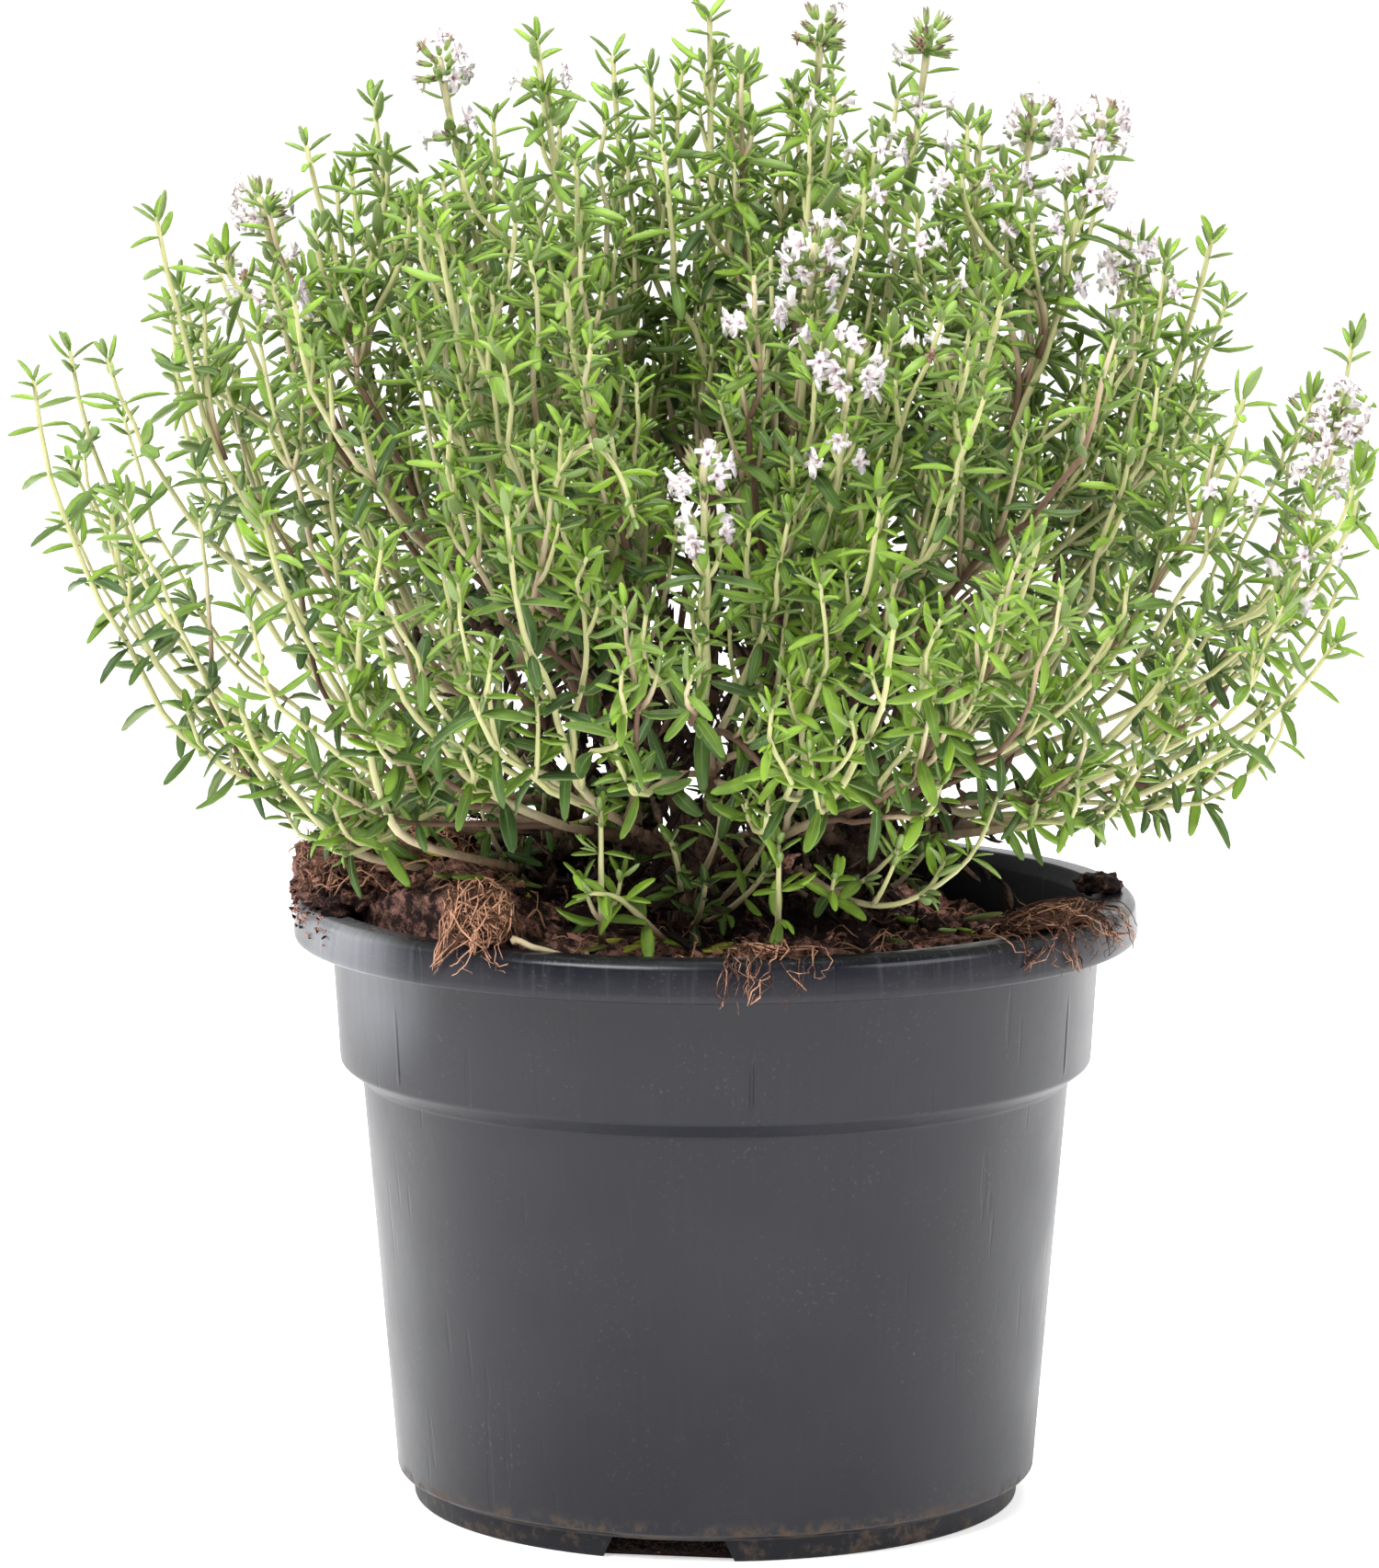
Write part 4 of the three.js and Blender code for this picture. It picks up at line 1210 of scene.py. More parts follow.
petalModel = modelFromRings(flowerPlan["petalSteps"], flowerPlan["petalRings"], petalReach)
cupModel = modelFromRings(flowerPlan["cupSteps"], flowerPlan["cupRings"], cupReach)
print("flowers are modelled")


def newBlooms():
    return {"cups": [], "petals": [], "stamens": []}


def bloomParts(blooms):
    return [
        placeCopies("cups", cupModel, blooms["cups"], calyxSkin),
        placeCopies("petals", petalModel, blooms["petals"], petalSkin),
        placeCopies("stamens", youngLeaf, blooms["stamens"], petalSkin),
    ]


# two headings that stand square to an axis and to each other
def squareTo(axis):
    sideways = axis.cross(Vector((0.3, 1, 0))).normalized()
    return sideways, axis.cross(sideways)


def addFlower(blooms, place, heading, opened, draw):
    plan = flowerPlan
    size = draw.uniform(*plan["size"])
    lift = up + Vector((draw.uniform(-1, 1), draw.uniform(-1, 1), 0)) * 0.25
    face = lift - heading * lift.dot(heading)
    blooms["cups"].append((standing(place, heading, face, size, size, size), 0, 0, draw.uniform(0.5, 1)))
    if opened:
        bloomSize = size if opened > 0.5 else size * plan["budSize"]
        petals = standing(place + heading * 0.9, heading, face, bloomSize, bloomSize, bloomSize)
        blooms["petals"].append((petals, draw.uniform(-0.05, 0.05), 0, opened))
    if opened > 0.5:
        for i in range(plan["stamens"]):
            aside = face.normalized() * 0.4 + anyWay(draw) * 0.35
            foot = place + heading * 2.4 * size
            stamen = standing(foot, heading + aside, up, draw.uniform(1.6, 2.6), 0.2, 0.2)
            blooms["stamens"].append((stamen, 0, 0, draw.uniform(0.3, 1)))


def addRing(blooms, place, axis, count, lean, draw, openShare):
    sideways, second = squareTo(axis)
    turn = draw.uniform(0, math.tau)
    for i in range(count):
        angle = turn + math.tau * (i + draw.uniform(-0.25, 0.25)) / count
        tilt = math.radians(lean + draw.uniform(-12, 12))
        outward = tilted(sideways, second, angle)
        heading = tilted(axis, outward, tilt)
        chance = draw.random()
        opened = draw.uniform(0.6, 1) if chance < openShare else (0.2 if chance > 0.95 else 0)
        start = place + axis * draw.uniform(-0.6, 0.6) + outward * flowerPlan["coreRadius"]
        addFlower(blooms, start, heading, opened, draw)


def makeFlowerHead(index, tip, seed):
    plan = flowerPlan
    draw = random.Random(seed)
    points = tallLine(tip)
    end = points[-1]
    marks = lengthMarks(points)
    axis = (end - points[-2]).normalized()
    blooms = newBlooms()
    sprig = newSprig()
    for rank, (count, lean) in enumerate(plan["levels"]):
        openShare = plan["openness"][index] * (1 - 0.15 * rank)
        addRing(blooms, end + axis * (0.6 + rank * 1.6), axis, count, lean, draw, openShare)
    core = ([points[-2], end, end + axis * 3.5], [0.5, 0.7, 0.6], [0.8, 0.8, 0.8])
    place, heading = locate(points, marks, marks[-1] - plan["whorlGap"] * 0.9)
    addRing(blooms, place, heading, draw.randint(*plan["whorlCount"]), plan["whorlLean"], draw, 0.75)
    sideways, second = squareTo(axis)
    for i in range(plan["bracts"]):
        outward = tilted(sideways, second, math.tau * i / plan["bracts"])
        addLeaf(sprig, end, outward + axis * 0.35, axis, draw.uniform(3.2, 4.9), 0.6, 0, draw)
    parts = [drawRods("core", [core], stemSkin)] + bloomParts(blooms)
    parts.append(placeCopies("bracts", youngLeaf, sprig["young"], leafSkin))
    finishPiece(f"thyme_bloom_{index + 1:02d}", parts, f"flower_head_{index + 1:02d}")


# where a place stands in the photographer's view, with less weight on how far away it is
def inView(place):
    return Vector((place.x, place.y * flowerPlan["depthWeight"], place.z + place.y * flowerPlan["viewSlope"]))


# whorls of flowers in the axils that lie nearest to each cluster's middle
def makeSpareFlowers(side, seed):
    draw = random.Random(seed)
    tree = KDTree(len(axils))
    for i, (place, heading) in enumerate(axils):
        tree.insert(inView(place), i)
    tree.balance()
    blooms = newBlooms()
    for x, y, z, whorls in flowerPlan["apart"][side]:
        for spot, i, distance in tree.find_n(inView(Vector((x, y, z))), whorls * 2)[::2]:
            place, heading = axils[i]
            addRing(blooms, place, heading, draw.randint(*flowerPlan["apartCount"]), 58, draw, 0.8)
    finishPiece(f"spare_flowers_{side}", bloomParts(blooms))


allTips = [tip for tips in stemPlan["tips"].values() for tip in tips]
for index, stemNumber in enumerate(stemPlan["flowering"]):
    makeFlowerHead(index, allTips[stemNumber - 1], 300 + index)
for seed, side in enumerate(flowerPlan["apart"]):
    makeSpareFlowers(side, 350 + seed)
print("flowers are open")


# short leafy sprigs low round each plant, and brown leaves that have died in its middle

lowPlan = {
    "sprigs": 6,
    "length": (14, 30),
    "facing": (-150, -30),  # most of them point to the front
    "vigour": (0.68, 0.92),
    "radius": 0.5,
    "breadth": 1.15,  # of the leaves, beside those of the tall stems
    "limit": 56,
    "dead": 260,
    "deadSpread": 17,
    "deadHeight": (94, 140),
    "deadLength": (3, 6.5),
    "start": (93, 112),     # height and distance from the trunk
    "aside": (1, 9),
}


def makeLowGrowth(plant, seed):
    plan = lowPlan
    draw = random.Random(seed)
    x, y = trunkPlan["places"][plant]
    sprig = newSprig(plan["breadth"])
    for i in range(plan["sprigs"]):
        bearing = draw.uniform(*plan["facing"]) if i % 3 else draw.uniform(-180, 180)
        outward = onBearing(bearing, 1, 0)
        start = Vector((x, y, draw.uniform(*plan["start"]))) + outward * draw.uniform(*plan["aside"])
        length = draw.uniform(*plan["length"])
        first = outward + up * draw.uniform(-0.05, 0.6)
        points = wander(start, first, up, length, draw.uniform(0.6, 1.3), 0.08, 9, draw)
        if points[-1].xy.length > plan["limit"]:
            points = [start.lerp(place, 0.55) for place in points]
        radii = [plan["radius"] * blend(1.1, 0.7, k / 8) for k in range(9)]
        sprig["rods"].append((points, radii, [blend(0.4, 0.95, k / 8) for k in range(9)]))
        dressShoot(sprig, points, 3, draw.uniform(*plan["vigour"]), draw.uniform(0.1, 0.8), draw)
    dead = []
    for i in range(plan["dead"]):
        aside, away = draw.gauss(0, 0.6) * plan["deadSpread"], draw.gauss(0, 0.6) * plan["deadSpread"]
        spot = Vector((x + aside, y + away, draw.uniform(*plan["deadHeight"])))
        heading = anyWay(draw, -1.6, 0.4)
        length = draw.uniform(*plan["deadLength"])
        matrix = standing(spot, heading, up, length, length * 0.28, length * 0.18)
        dead.append((matrix, draw.uniform(-2, 2), draw.uniform(-0.5, 0.5), draw.uniform(-0.5, 0.6)))
    parts = sprigParts(sprig) + [placeCopies("dead", youngLeaf, dead, bark)]
    finishPiece(f"low_growth_{plant}", parts)


# woody bases: a trunk in the peat with branches to the stems, ridged bark and shreds that peel off

trunkPlan = {
    "places": {
        "left": (-26, -4), "front": (-4, -21), "right": (21, -13),
        "back_right": (18, 19), "back_left": (-15, 21),
    },
    "foot": 84,
    "fork": 103,
    "footRadius": 2.7,
    "forkRadius": 2.0,
    "branchRadius": (1.35, 0.95),
    "ridge": 0.4,
    "ridgeWidth": 0.9,
    "ridgeLength": 7,   # as a multiple of its width
    "shreds": 46,
    "shredRadius": (0.28, 0.5),
}


def roughen(piece, depth, grainSize, stretch):
    normals = [vertex.normal.copy() for vertex in piece.data.vertices]
    for vertex, normal in zip(piece.data.vertices, normals):
        place = vertex.co / mm / grainSize
        place.z /= stretch
        vertex.co += normal * noise.fractal(place, 0.8, 2.0, 3) * depth * mm


def makeWoodyBase(plant, tips, seed):
    plan = trunkPlan
    draw = random.Random(seed)
    x, y = plan["places"][plant]
    foot = Vector((x, y, plan["foot"]))
    fork = Vector((x + draw.uniform(-1, 1), y + draw.uniform(-1, 1), plan["fork"]))
    trunk = bowed(foot, (foot + fork) / 2 + Vector((draw.uniform(-1.5, 1.5), 0, 0)), fork, 14)
    rods = [(trunk, [blend(plan["footRadius"], plan["forkRadius"], i / 13) for i in range(14)], [0.4] * 14)]
    for i, tip in enumerate(tips):
        stemFoot, elbow = stemLine(tip)[:2]
        heading = (elbow - stemFoot).normalized()
        start = Vector((fork.x, fork.y, plan["fork"] - 1 - 7 * i / len(tips)))
        arm = stemFoot - heading * (start - stemFoot).length * 0.4
        branch = bowed(start, arm, stemFoot + heading * 1.5, 16)
        for k in range(2, 15):
            branch[k] += noise.noise_vector(branch[k] * 0.09) * 1.0
        radii = [blend(*plan["branchRadius"], k / 15) for k in range(16)]
        rods.append((branch, radii, [blend(0.35, 0.9, k / 15) for k in range(16)]))
    wood = drawRods("wood", rods, bark, 10)
    roughen(wood, plan["ridge"], plan["ridgeWidth"], plan["ridgeLength"])
    shreds = []
    for i in range(plan["shreds"]):
        host, radii, tones = rods[0] if draw.random() < 0.35 else draw.choice(rods)
        first = draw.randint(0, len(host) - 6)
        count = draw.randint(4, 6)
        swing = draw.uniform(0, math.tau)
        strip = []
        for k in range(count):
            place = host[first + k]
            if first + k + 1 < len(host):
                heading = (host[first + k + 1] - place).normalized()
            side = heading.orthogonal().normalized()
            side.rotate(Matrix.Rotation(swing + 0.12 * k, 3, heading))
            peel = 0.3 + (draw.uniform(0.6, 2.2) if k in (0, count - 1) and draw.random() < 0.6 else 0)
            strip.append(place + side * (radii[first + k] + peel))
        thick = [0.12] + [draw.uniform(*plan["shredRadius"])] * (count - 2) + [0.08]
        shreds.append((strip, thick, [draw.uniform(0.1, 1)] * count))
    parts = [wood, drawRods("shreds", shreds, bark, 4)]
    finishPiece(f"woody_base_{plant}", parts, f"woody_{plant}")


# stems that lean out low over the rim, and sprigs by the rim, each along its own line from the crown

trailPlan = {
    "left_low": {
        "lines": [
            [
                (-30, -34, 103), (-45, -46, 109), (-49, -52, 116), (-51, -57, 126), (-52, -60, 138),
                (-51, -60, 147),
            ],
            [
                (-36, -22, 100), (-52, -30, 104), (-58, -35, 109), (-64, -42, 117), (-68, -46, 123),
                (-70, -47, 129),
            ],
            [(-30, -14, 104), (-58, -20, 112), (-78, -26, 126), (-87, -30, 140), (-90, -32, 156)],
        ],
        "bare": 0.36, "vigour": 0.92, "freshness": 0.9, "radius": 0.75, "breadth": 1,
    },
    "right_low": {
        "lines": [
            [(13, -30, 112), (30, -42, 117), (42, -50, 123), (53, -55, 132), (60, -57, 141)],
            [(27, -16, 104), (56, -25, 110), (76, -30, 120), (86, -33, 129), (92, -34, 137)],
        ],
        "bare": 0.3, "vigour": 0.95, "freshness": 0.8, "radius": 0.66, "breadth": 1,
    },
    "front": {
        "lines": [
            [(-17, -46, 94), (-17, -52, 101), (-17, -54, 108), (-17, -55, 115)],
            [(9, -42, 93), (9, -50, 98), (9, -55, 104), (9, -56, 110)],
            [(-8, -44, 94), (-12, -50, 99), (-15, -54, 102), (-19, -57, 103)],
            [(12, -34, 103), (20, -46, 100), (28, -52, 101), (37, -50, 107), (42, -46, 117)],
            [
                (-29, -58, 136), (-25, -66, 154), (-23, -70, 165), (-18, -72, 170), (-14, -74, 166),
                (-12, -75, 160),
            ],
        ],
        "bare": 0.08, "vigour": 0.77, "freshness": 1.0, "radius": 0.55, "breadth": 1.15,
    },
}


# a smooth line through a few corners
def smoothLine(corners, steps):
    points = [Vector(corner) for corner in corners]
    ends = [points[0] * 2 - points[1]] + points + [points[-1] * 2 - points[-2]]
    line = []
    for a, b, c, d in zip(ends, ends[1:], ends[2:], ends[3:]):
        for i in range(steps):
            s = i / steps
            near = b * 2 + (c - a) * s + (a * 2 - b * 5 + c * 4 - d) * s ** 2
            line.append((near + (b * 3 - a - c * 3 + d) * s ** 3) / 2)
    return line + [points[-1]]


def makeTrails(side, seed):
    plan = trailPlan[side]
    draw = random.Random(seed)
    sprig = newSprig(plan["breadth"])
    for corners in plan["lines"]:
        line = smoothLine(corners, 4)
        last = len(line) - 1
        radii = [plan["radius"] * blend(1, 0.6, i / last) for i in range(last + 1)]
        growUpright(sprig, line, radii, 0.1, plan["vigour"], plan["freshness"], plan["bare"], draw)
    finishPiece(f"trailing_stems_{side}", sprigParts(sprig))


for seed, (plant, tips) in enumerate(stemPlan["tips"].items()):
    makeWoodyBase(plant, tips, 500 + seed)
    makeLowGrowth(plant, 550 + seed)
for seed, side in enumerate(trailPlan):
    makeTrails(side, 580 + seed)
print("woody bases and low growth are in")


# the peat: a plug that fills the pot, heaped over the rim on the left, with crumbs and fine roots

peatPlan = {
    "level": 90.8,
    "crown": 2.5,
    "hump": (-46, 3, 11.5, 17, 27),    # place, height and spans
    "slope": (-38, -34, 9.5, 14, 17),
    "hollow": (40, 26, -9, 22, 22),
    "radius": 57.6,
    "cells": 120,
    "sides": [(56.2, 69.4), (52.9, 66), (48, 4.5)],  # radius and height, down the pot's wall
    "heap": {"place": (-50.3, 3, 95.6), "size": (14.5, 28, 9.2)},
    "heapSpread": (14, 26),     # of its crumbs
    "wallReach": 57,
    "spill": {  # over the lip, by bearing in degrees
        "from": 164, "to": 206, "crumbs": 130, "reach": 65.0, "high": 95.2, "low": 90, "size": (0.14, 0.4),
    },
    "lump": 1.6,
    "shadeFade": (24, 47),   # painted shade: from here out to there the peat under the bush grows lighter
    "lipInside": 56,
    "lipTop": 94.1,     # the heap rests on the lip, and stays within it
    "lipEdge": 65.4,
    "fibreEdge": (65.8, 57.2),  # how far out fibres may lie, above the lip and below
    "crumbs": 2300,
    "heapCrumbs": 800,
    "crumbSize": (0.2, 1.2),
    "notchCrumbs": {
        "count": 150, "aside": 11.5, "reach": (43.9, 45.6), "height": (0.75, 3.0), "size": (0.18, 0.4),
    },
    "notchShadeSlab": (1.4, 23, 2.4),
    "notchReach": 43.4,
    "notchShadeTones": (-1.6, -0.9),  # of the slab and of its crumbs, both dark as painted shade in the notch
    "fallen": 46,
    "fallenReach": 55.5,
    "paleRoot": [(-22, -55, 93), (-25, -54.5, 94), (-27, -55, 94.6), (-29, -54, 95.4), (-30, -52.5, 95.2)],
    "fibres": 1300,
    "fibreReach": 60,
    "fibreLength": ((9, 17), (3, 9)),  # of every fourth one, and of the others
    "fibreRadius": (0.06, 0.18),
}


def peatHeight(x, y):
    plan = peatPlan
    height = plan["level"] + plan["crown"] * math.exp(-(x * x + y * y) / 900)
    for midX, midY, rise, spanX, spanY in (plan["hump"], plan["slope"], plan["hollow"]):
        height += rise * math.exp(-(((x - midX) / spanX) ** 2) - ((y - midY) / spanY) ** 2)
    return height + 0.7 * math.sin(x * 0.31 + 1.2) * math.cos(y * 0.27)


def roughPeat(x, y):
    lumps = noise.fractal(Vector((x * 0.16, y * 0.16, 3)), 0.7, 2.1, 5)
    return peatHeight(x, y) + peatPlan["lump"] * lumps


# painted shade: the peat under the bush is painted darker than by the rim
def shade(x, y):
    return 1 - smoothly(*peatPlan["shadeFade"], math.hypot(x, y - 6))


# how high the heap over the rim stands at a place, or nothing outside it
def heapTop(x, y):
    midX, midY, midZ = peatPlan["heap"]["place"]
    sizeX, sizeY, sizeZ = peatPlan["heap"]["size"]
    inside = 1 - ((x - midX) / sizeX) ** 2 - ((y - midY) / sizeY) ** 2
    return midZ + sizeZ * math.sqrt(inside) if inside > 0 else None


def groundAt(x, y):
    return max(roughPeat(x, y), heapTop(x, y) or 0)


# a dark slab in peat colour at the back of a notch of the foot: painted shade in the recess
def darkSlabInNotch(bearing):
    size = peatPlan["notchShadeSlab"]
    deselectAll()
    bpy.ops.mesh.primitive_cube_add(
        size=1,
        location=onBearing(bearing, peatPlan["notchReach"] * mm, (size[2] / 2 + 0.15) * mm),
        rotation=(0, 0, math.radians(bearing)),
        scale=[side * mm for side in size],
    )
    bpy.ops.object.transform_apply(location=True, rotation=True, scale=True)
    return bpy.context.object


def makePeat():
    plan = peatPlan
    cells = plan["cells"]
    deselectAll()
    bpy.ops.mesh.primitive_grid_add(x_subdivisions=cells, y_subdivisions=cells, size=2, location=(0, 0, 0))
    plug = bpy.context.object
    for vertex in plug.data.vertices:
        u, v = vertex.co.x, vertex.co.y
        x = u * math.sqrt(1 - v * v / 2) * plan["radius"]
        y = v * math.sqrt(1 - u * u / 2) * plan["radius"]
        vertex.co = (x * mm, y * mm, roughPeat(x, y) * mm)
    bpy.ops.object.mode_set(mode="EDIT")
    bpy.ops.mesh.select_all(action="SELECT")
    bpy.ops.mesh.region_to_loop()
    radius = plan["radius"]
    for sideRadius, height in plan["sides"]:
        bpy.ops.mesh.extrude_region_move()
        share = sideRadius / radius
        bpy.ops.transform.resize(value=(share, share, 0), center_override=(0, 0, height * mm))
        radius = sideRadius
    bpy.ops.mesh.edge_face_add()
    bpy.ops.object.mode_set(mode="OBJECT")
    closeSeams(plug)
    deselectAll()
    bpy.ops.mesh.primitive_ico_sphere_add(subdivisions=5, radius=1, location=(0, 0, 0))
    heap = bpy.context.object
    for vertex in heap.data.vertices:
        spot = Vector([part * size for part, size in zip(vertex.co, plan["heap"]["size"])])
        swell = 1 + 0.24 * noise.fractal(spot * 0.13, 0.8, 2.1, 6) + 0.2 * noise.noise(spot * 0.6)
        spot = spot * swell + Vector(plan["heap"]["place"])
        if spot.xy.length > plan["lipInside"]:
            spot.z = max(spot.z, plan["lipTop"])
        if spot.xy.length > plan["lipEdge"]:
            spot.xy *= plan["lipEdge"] / spot.xy.length
        vertex.co = spot * mm
    return [plug, heap], [darkSlabInNotch(bearing) for bearing in potPlan["notches"]]


def strewn(place, size, draw, tone):
    heading = anyWay(draw, -0.7, 0.9)
    length, width = size * draw.uniform(0.9, 2.1), size * draw.uniform(0.6, 1)
    return standing(place, heading, up, length, width, size * 0.6), 0, 0, tone + draw.uniform(-0.8, 0.8)


def makeCrumbs(draw):
    plan = peatPlan
    deselectAll()
    bpy.ops.mesh.primitive_ico_sphere_add(subdivisions=1, radius=1, location=(0, 0, 0))
    crumb = bpy.context.object
    for vertex in crumb.data.vertices:
        vertex.co *= 1 + 0.55 * noise.noise(vertex.co * 1.7)
    model = readModel(crumb)
    copies = []
    for i in range(plan["crumbs"]):
        if i < plan["heapCrumbs"]:
            midX, midY = plan["heap"]["place"][:2]
            x = midX + draw.uniform(-1, 1) * plan["heapSpread"][0]
            y = midY + draw.uniform(-1, 1) * plan["heapSpread"][1]
            z = heapTop(x, y)
            if z is None:
                continue
        else:
            bearing = draw.uniform(0, math.tau)
            reach = plan["wallReach"] * math.sqrt(draw.random())
            x, y = reach * math.cos(bearing), reach * math.sin(bearing)
            z = groundAt(x, y)
        size = blend(*plan["crumbSize"], draw.random() ** 2.2)
        # the crumbs take the painted shade under the bush in their tone
        copies.append(strewn(Vector((x, y, z + size * 0.2)), size, draw, 0.4 - shade(x, y)))
    spill = plan["spill"]
    for i in range(spill["crumbs"]):
        fall = draw.random() ** 2.6
        reach = spill["reach"] + draw.uniform(0, 0.7) * (1 - fall * 0.6)
        height = blend(spill["high"], spill["low"], fall)
        place = onBearing(draw.uniform(spill["from"], spill["to"]), reach, height)
        copies.append(strewn(place, draw.uniform(*spill["size"]), draw, 0.5))
    low = plan["notchCrumbs"]
    for bearing in potPlan["notches"]:
        for i in range(low["count"]):
            aside, reach = draw.uniform(-low["aside"], low["aside"]), draw.uniform(*low["reach"])
            place = onBearing(bearing + aside, reach, draw.uniform(*low["height"]))
            # the crumbs in the notches are toned dark, as painted shade
            copies.append(strewn(place, draw.uniform(*low["size"]), draw, plan["notchShadeTones"][1]))
    return placeCopies("crumbs", model, copies, peatSoil)


def makeFibres(draw):
    plan = peatPlan
    rods = []
    for i in range(plan["fibres"]):
        bearing = draw.uniform(0, math.tau)
        reach = plan["fibreReach"] * math.sqrt(draw.random())
        if i % 3:
            x, y = -50 + draw.uniform(-14, 13), 4 + draw.uniform(-26, 24)
        else:
            x, y = reach * math.cos(bearing), reach * math.sin(bearing)
        if math.hypot(x, y) > plan["wallReach"] and heapTop(x, y) is None:
            continue
        start = Vector((x, y, groundAt(x, y) + 0.1))
        heading = anyWay(draw, -0.1, 0.5)
        length = draw.uniform(*plan["fibreLength"][i % 4 > 0])
        points = wander(start, heading, Vector((0, 0, -1)), length, 1.3, 0.6, 7, draw)
        lift = draw.uniform(0, 2.2)
        for k, spot in enumerate(points):
            spot.z = max(spot.z, groundAt(*spot.xy) + lift * math.sin(math.pi * k / 6))
        if any(spot.xy.length > plan["fibreEdge"][spot.z <= 94] for spot in points):
            continue
        thick = draw.uniform(*plan["fibreRadius"])
        # the fibres take the painted shade under the bush in their tone
        rods.append((points, [thick] * 6 + [thick * 0.4], [draw.uniform(0, 1.1) - shade(x, y)] * 7))
    return drawRods("fibres", rods, rootFibre, 4)


# green and yellowed leaves that have dropped on the peat, and one pale root
def makeLitter(draw):
    drops = []
    for i in range(peatPlan["fallen"]):
        bearing = draw.uniform(-160, -20) if i % 2 else draw.uniform(-180, 180)
        reach = draw.uniform(36, 56) if i % 2 else draw.uniform(10, 56)
        spot = onBearing(bearing, reach, 0)
        spot.z = groundAt(spot.x, spot.y) + 0.7
        heading = anyWay(draw, -0.1, 0.1)
        length = draw.uniform(4, 7.5)
        tip = spot + heading.normalized() * length
        spot.xy *= min(1, peatPlan["fallenReach"] / max(tip.xy.length, spot.xy.length))
        matrix = standing(spot, heading, up, length, length * 0.3, length * 0.13)
        drops.append((matrix, draw.uniform(-2, 2), 0, draw.choice([0.9, 0.6, 0.2, -0.4, -0.7])))
    root = smoothLine(peatPlan["paleRoot"], 3)
    radii = [0.5] * (len(root) - 2) + [0.8, 0.3]
    pale = drawRods("pale root", [(root, radii, [0.62] * len(root))], stemSkin)
    return [placeCopies("fallen leaves", broadLeaf, drops, leafSkin), pale]


def makeSoil():
    draw = random.Random(71)
    bodies, fills = makePeat()
    for body in bodies + fills:
        body.data.shade_smooth()
        body.data.materials.append(peatSoil)
        # the slabs in the notches are toned very dark, as painted shade
        base = peatPlan["notchShadeTones"][0] if body in fills else 0.3
        tones = []
        for vertex in body.data.vertices:
            place = vertex.co / mm
            # the tone takes the painted shade under the bush
            tones.append(base + 0.5 * noise.noise(place * 0.07) - shade(*place.xy))
        addTones(body.data, tones)
    parts = bodies + fills + [makeCrumbs(draw), makeFibres(draw)] + makeLitter(draw)
    finishPiece("peat_soil", parts, "peat")


makeSoil()
print("peat is filled in")


# loose roots on the rim, each a tangle with strands that hang over the lip

# where the lip of the pot holds the roots up
lipPlan = {
    "inside": 58,       # radius at which the lip begins
    "matTop": 94.05,
    "loopTop": 94.2,
    "soil": 91.5,       # roots that lie inside the lip stay above this
    "hang": 66.1,       # radius at which strands hang down
    "matShare": 0.76,   # of the tangle's size
}

rootPlan = {
    "root_tangle_left": {
        "bearing": 234.5, "reach": 60.2, "height": 98.4, "size": (3.9, 5.3, 5.3), "loops": 230,
        "strands": 5, "from": 229, "to": 241, "low": (89.5, 93), "thickness": (0.07, 0.17), "tone": 0,
        "arches": 26, "ends": [(231, 66, 90.5), (240.5, 65.6, 93), (233, 65.2, 94), (237, 65.2, 94)],
    },
    "root_tuft_front": {
        "bearing": 277, "reach": 60, "height": 95.0, "size": (3.2, 3.8, 1.0), "loops": 36,
        "strands": 20, "from": 270, "to": 285, "low": (86.5, 93), "thickness": (0.06, 0.14), "tone": -0.4,
        "arches": 10, "ends": [(274, 66, 88), (281, 66, 90)],
    },
    "root_tuft_right": {
        "bearing": 329, "reach": 58.5, "height": 95.2, "size": (4.6, 13, 1.9), "loops": 190,
        "strands": 34, "from": 310, "to": 348, "low": (87.5, 93.5), "thickness": (0.06, 0.16), "tone": -0.4,
        "arches": 30, "ends": [(314, 66, 90), (324, 66, 89), (338, 66, 91)],
        "scrap": {"bearing": 2, "reach": 59.2, "height": 94.8, "size": (4.6, 6.4, 2.4)},
    },
}


# the matted heart of a tangle, or a scrap of peat
def makeMat(plan, material, tone):
    deselectAll()
    bpy.ops.mesh.primitive_ico_sphere_add(subdivisions=4, radius=1, location=(0, 0, 0))
    mat = bpy.context.object
    middle = onBearing(plan["bearing"], plan["reach"], plan["height"])
    outward = onBearing(plan["bearing"], 1, 0)
    sideways = up.cross(outward)
    depth, breadth, height = (part * lipPlan["matShare"] for part in plan["size"])
    for vertex in mat.data.vertices:
        ball = vertex.co * (1 + 0.3 * noise.noise(vertex.co * 3.1) + 0.12 * noise.noise(vertex.co * 9))
        spot = middle + outward * ball.x * depth + sideways * ball.y * breadth + up * ball.z * height
        spot.z = max(spot.z, lipPlan["matTop" if spot.xy.length > lipPlan["inside"] else "soil"])
        vertex.co = spot * mm
    mat.data.shade_smooth()
    mat.data.materials.append(material)
    addTones(mat.data, [tone] * len(mat.data.vertices))
    return mat


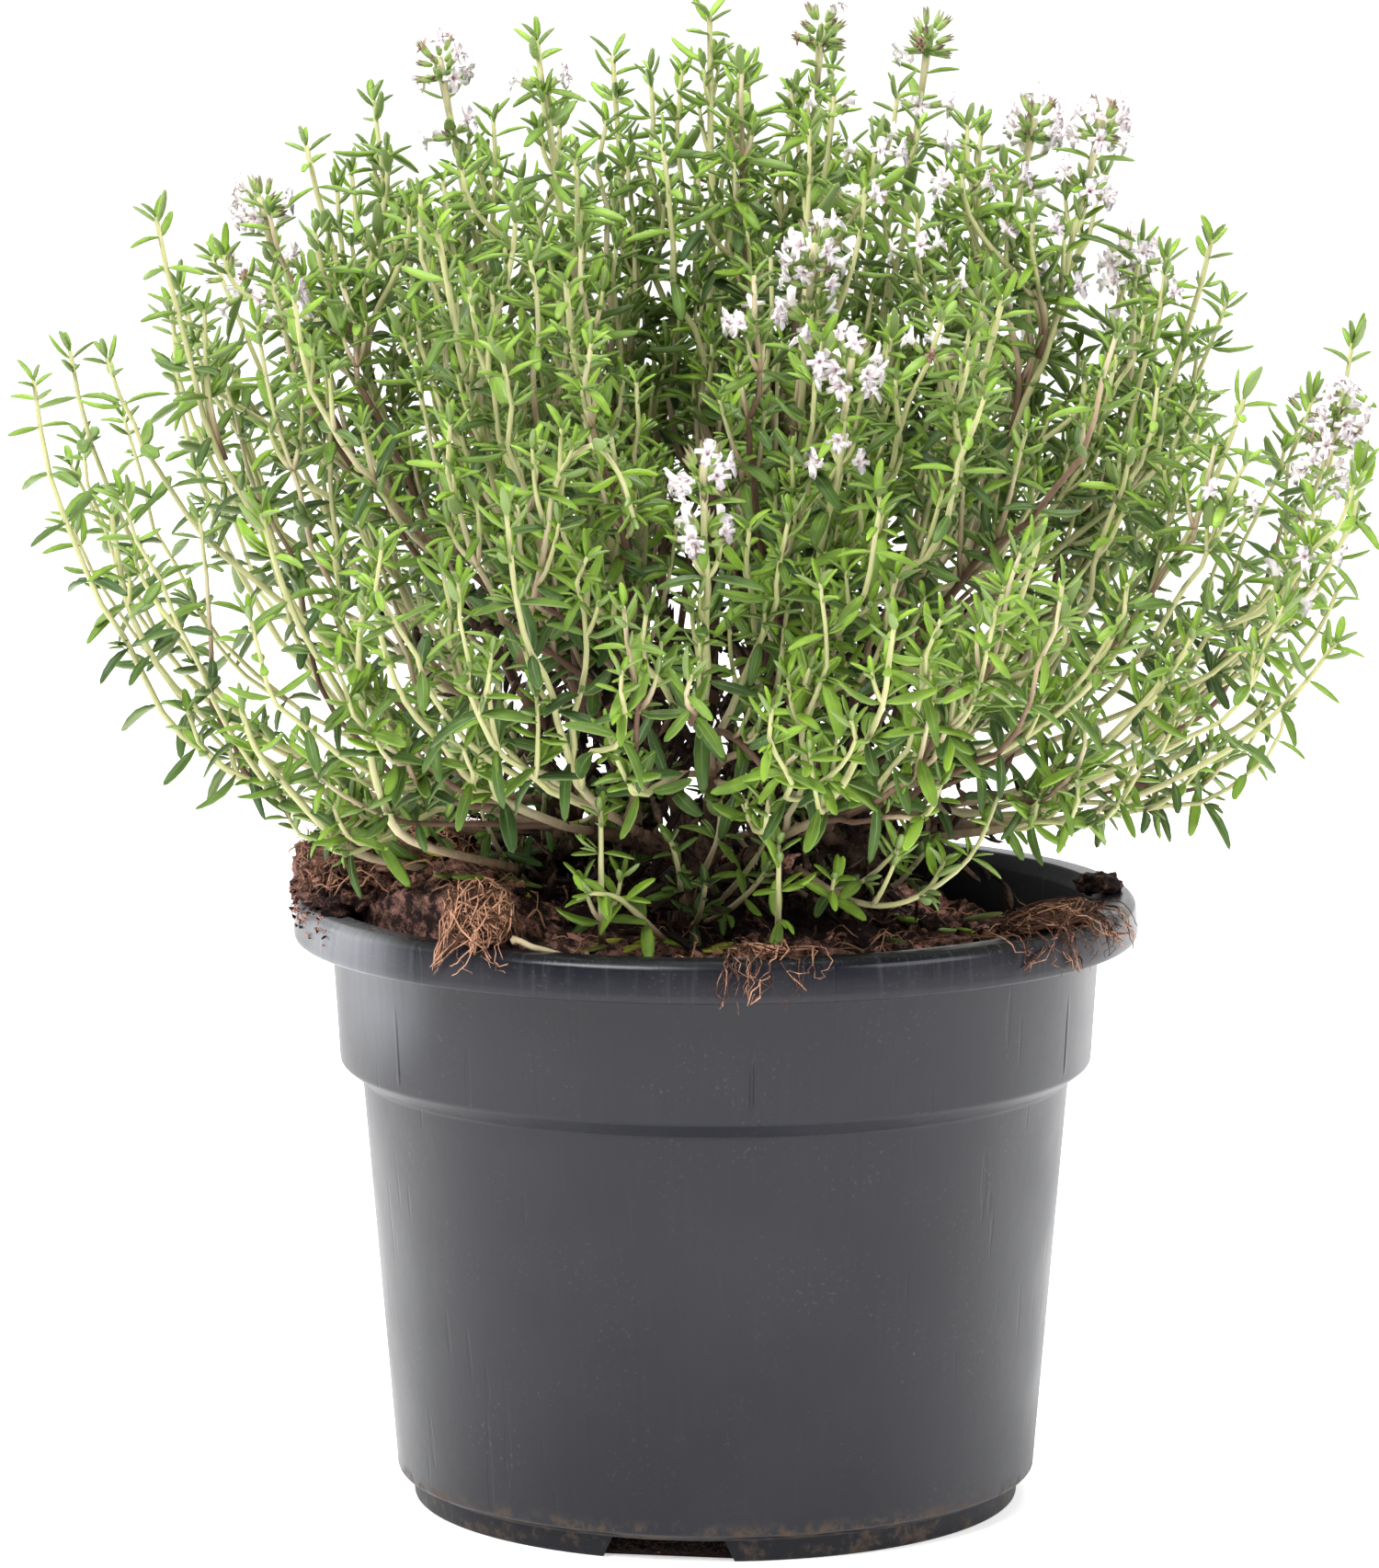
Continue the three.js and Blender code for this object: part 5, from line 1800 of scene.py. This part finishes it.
def makeRoots(name, seed):
    plan = rootPlan[name]
    draw = random.Random(seed)
    middle = onBearing(plan["bearing"], plan["reach"], plan["height"])
    outward = onBearing(plan["bearing"], 1, 0)
    sideways = up.cross(outward)
    depth, breadth, height = plan["size"]
    rods = []
    for i in range(plan["loops"]):
        spin = Vector((draw.gauss(0, 1), draw.gauss(0, 1), draw.gauss(0, 1))).normalized()
        first = spin.orthogonal().normalized()
        second = spin.cross(first)
        size = draw.uniform(0.55, 1.02)
        start = draw.uniform(0, math.tau)
        sweep = draw.uniform(1.2, 4.5)
        points = []
        for k in range(10):
            angle = start + sweep * k / 9
            ball = tilted(first, second, angle) * size
            ball += noise.noise_vector(ball * 1.6 + Vector((i, 0, 0))) * 0.3
            spot = middle + outward * ball.x * depth + sideways * ball.y * breadth
            spot.z += ball.z * height
            spot.z = max(spot.z, lipPlan["loopTop" if spot.xy.length > lipPlan["inside"] else "soil"])
            points.append(spot)
        thick = draw.uniform(*plan["thickness"])
        tone = plan["tone"] + draw.uniform(-0.6, 1.3)
        rods.append((points, [thick] * 9 + [thick * 0.4], [tone] * 10))
    for i in range(plan["arches"]):
        end = onBearing(*draw.choice(plan["ends"]))
        end += Vector((draw.uniform(-0.5, 0.5), 0, draw.uniform(-0.6, 0.6)))
        swing = draw.uniform(-1, 1)
        crest = middle + sideways * swing * breadth + outward * depth * draw.uniform(-0.3, 0.9)
        crest.z += height * math.sqrt(1.05 - swing ** 2) * draw.uniform(0.55, 1.1)
        back = middle + sideways * swing * breadth * 1.1 - outward * depth * draw.uniform(0.5, 1.2)
        back.z = 94.4
        rise = end.lerp(crest, 0.6) + outward * draw.uniform(0.5, 2.2) + sideways * draw.uniform(-1.2, 1.2)
        points = bowed(end, rise, crest, 7) + bowed(crest, crest.lerp(back, 0.5) + up * 1.4, back, 4)[1:]
        for spot in points[:-1]:
            spot += noise.noise_vector(spot * 0.5 + Vector((i, 0, 0))) * 1.5
        thick = draw.uniform(*plan["thickness"])
        tone = plan["tone"] + draw.uniform(0.2, 1.2)
        rods.append((points, [thick * 0.5] + [thick] * 8 + [thick * 0.6], [tone] * 10))
    for i in range(plan["strands"]):
        bearing = draw.uniform(plan["from"], plan["to"])
        drift = draw.uniform(-5, 5)
        low = draw.uniform(*plan["low"])
        hang = lipPlan["hang"] + draw.uniform(0, 0.7)
        route = [
            onBearing(blend(plan["bearing"], bearing, 0.5), plan["reach"] - 2, plan["height"]),
            onBearing(bearing - drift * 0.4, 61.5, 94.8 + draw.uniform(0, 1.2)),
            onBearing(bearing - drift * 0.2, 64.3, 94.6 + draw.uniform(0, 0.5)),
            onBearing(bearing, 65.6, 92.8),
            onBearing(bearing + drift * 0.3, hang, (92 + low) / 2),
            onBearing(bearing + drift * 0.5 + draw.uniform(-1, 1), hang, low),
        ]
        points = []
        for k in range(len(route) - 1):
            twist = Vector((draw.uniform(-1, 1), draw.uniform(-0.3, 0.1), draw.uniform(-0.3, 0.4))) * 0.9
            points += [route[k], route[k].lerp(route[k + 1], 0.5) + twist]
        points.append(route[-1])
        thick = draw.uniform(*plan["thickness"])
        tone = plan["tone"] + draw.uniform(0, 1)
        rods.append((points, [thick * blend(1, 0.5, k / 10) for k in range(11)], [tone] * 11))
    label = name.replace("root_", "rootlets_")
    # the tangle's matted heart is toned darker than its strands: painted shade in the gaps between them
    parts = [drawRods(label, rods, rootFibre, 4), makeMat(plan, rootFibre, plan["tone"] - 0.6)]
    if "scrap" in plan:
        parts.append(makeMat(plan["scrap"], peatSoil, 0))
    finishPiece(label, parts, name)


for seed, name in enumerate(rootPlan):
    makeRoots(name, 600 + seed)
print("loose roots are laid")


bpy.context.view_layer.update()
shown = []
for piece in bpy.data.objects:
    if piece.type == "MESH" and not piece.hide_render:
        piece.data.calc_loop_triangles()
        shown.append(len(piece.data.loop_triangles))
print("triangles in all:", sum(shown), "and at most", max(shown), "in a piece")
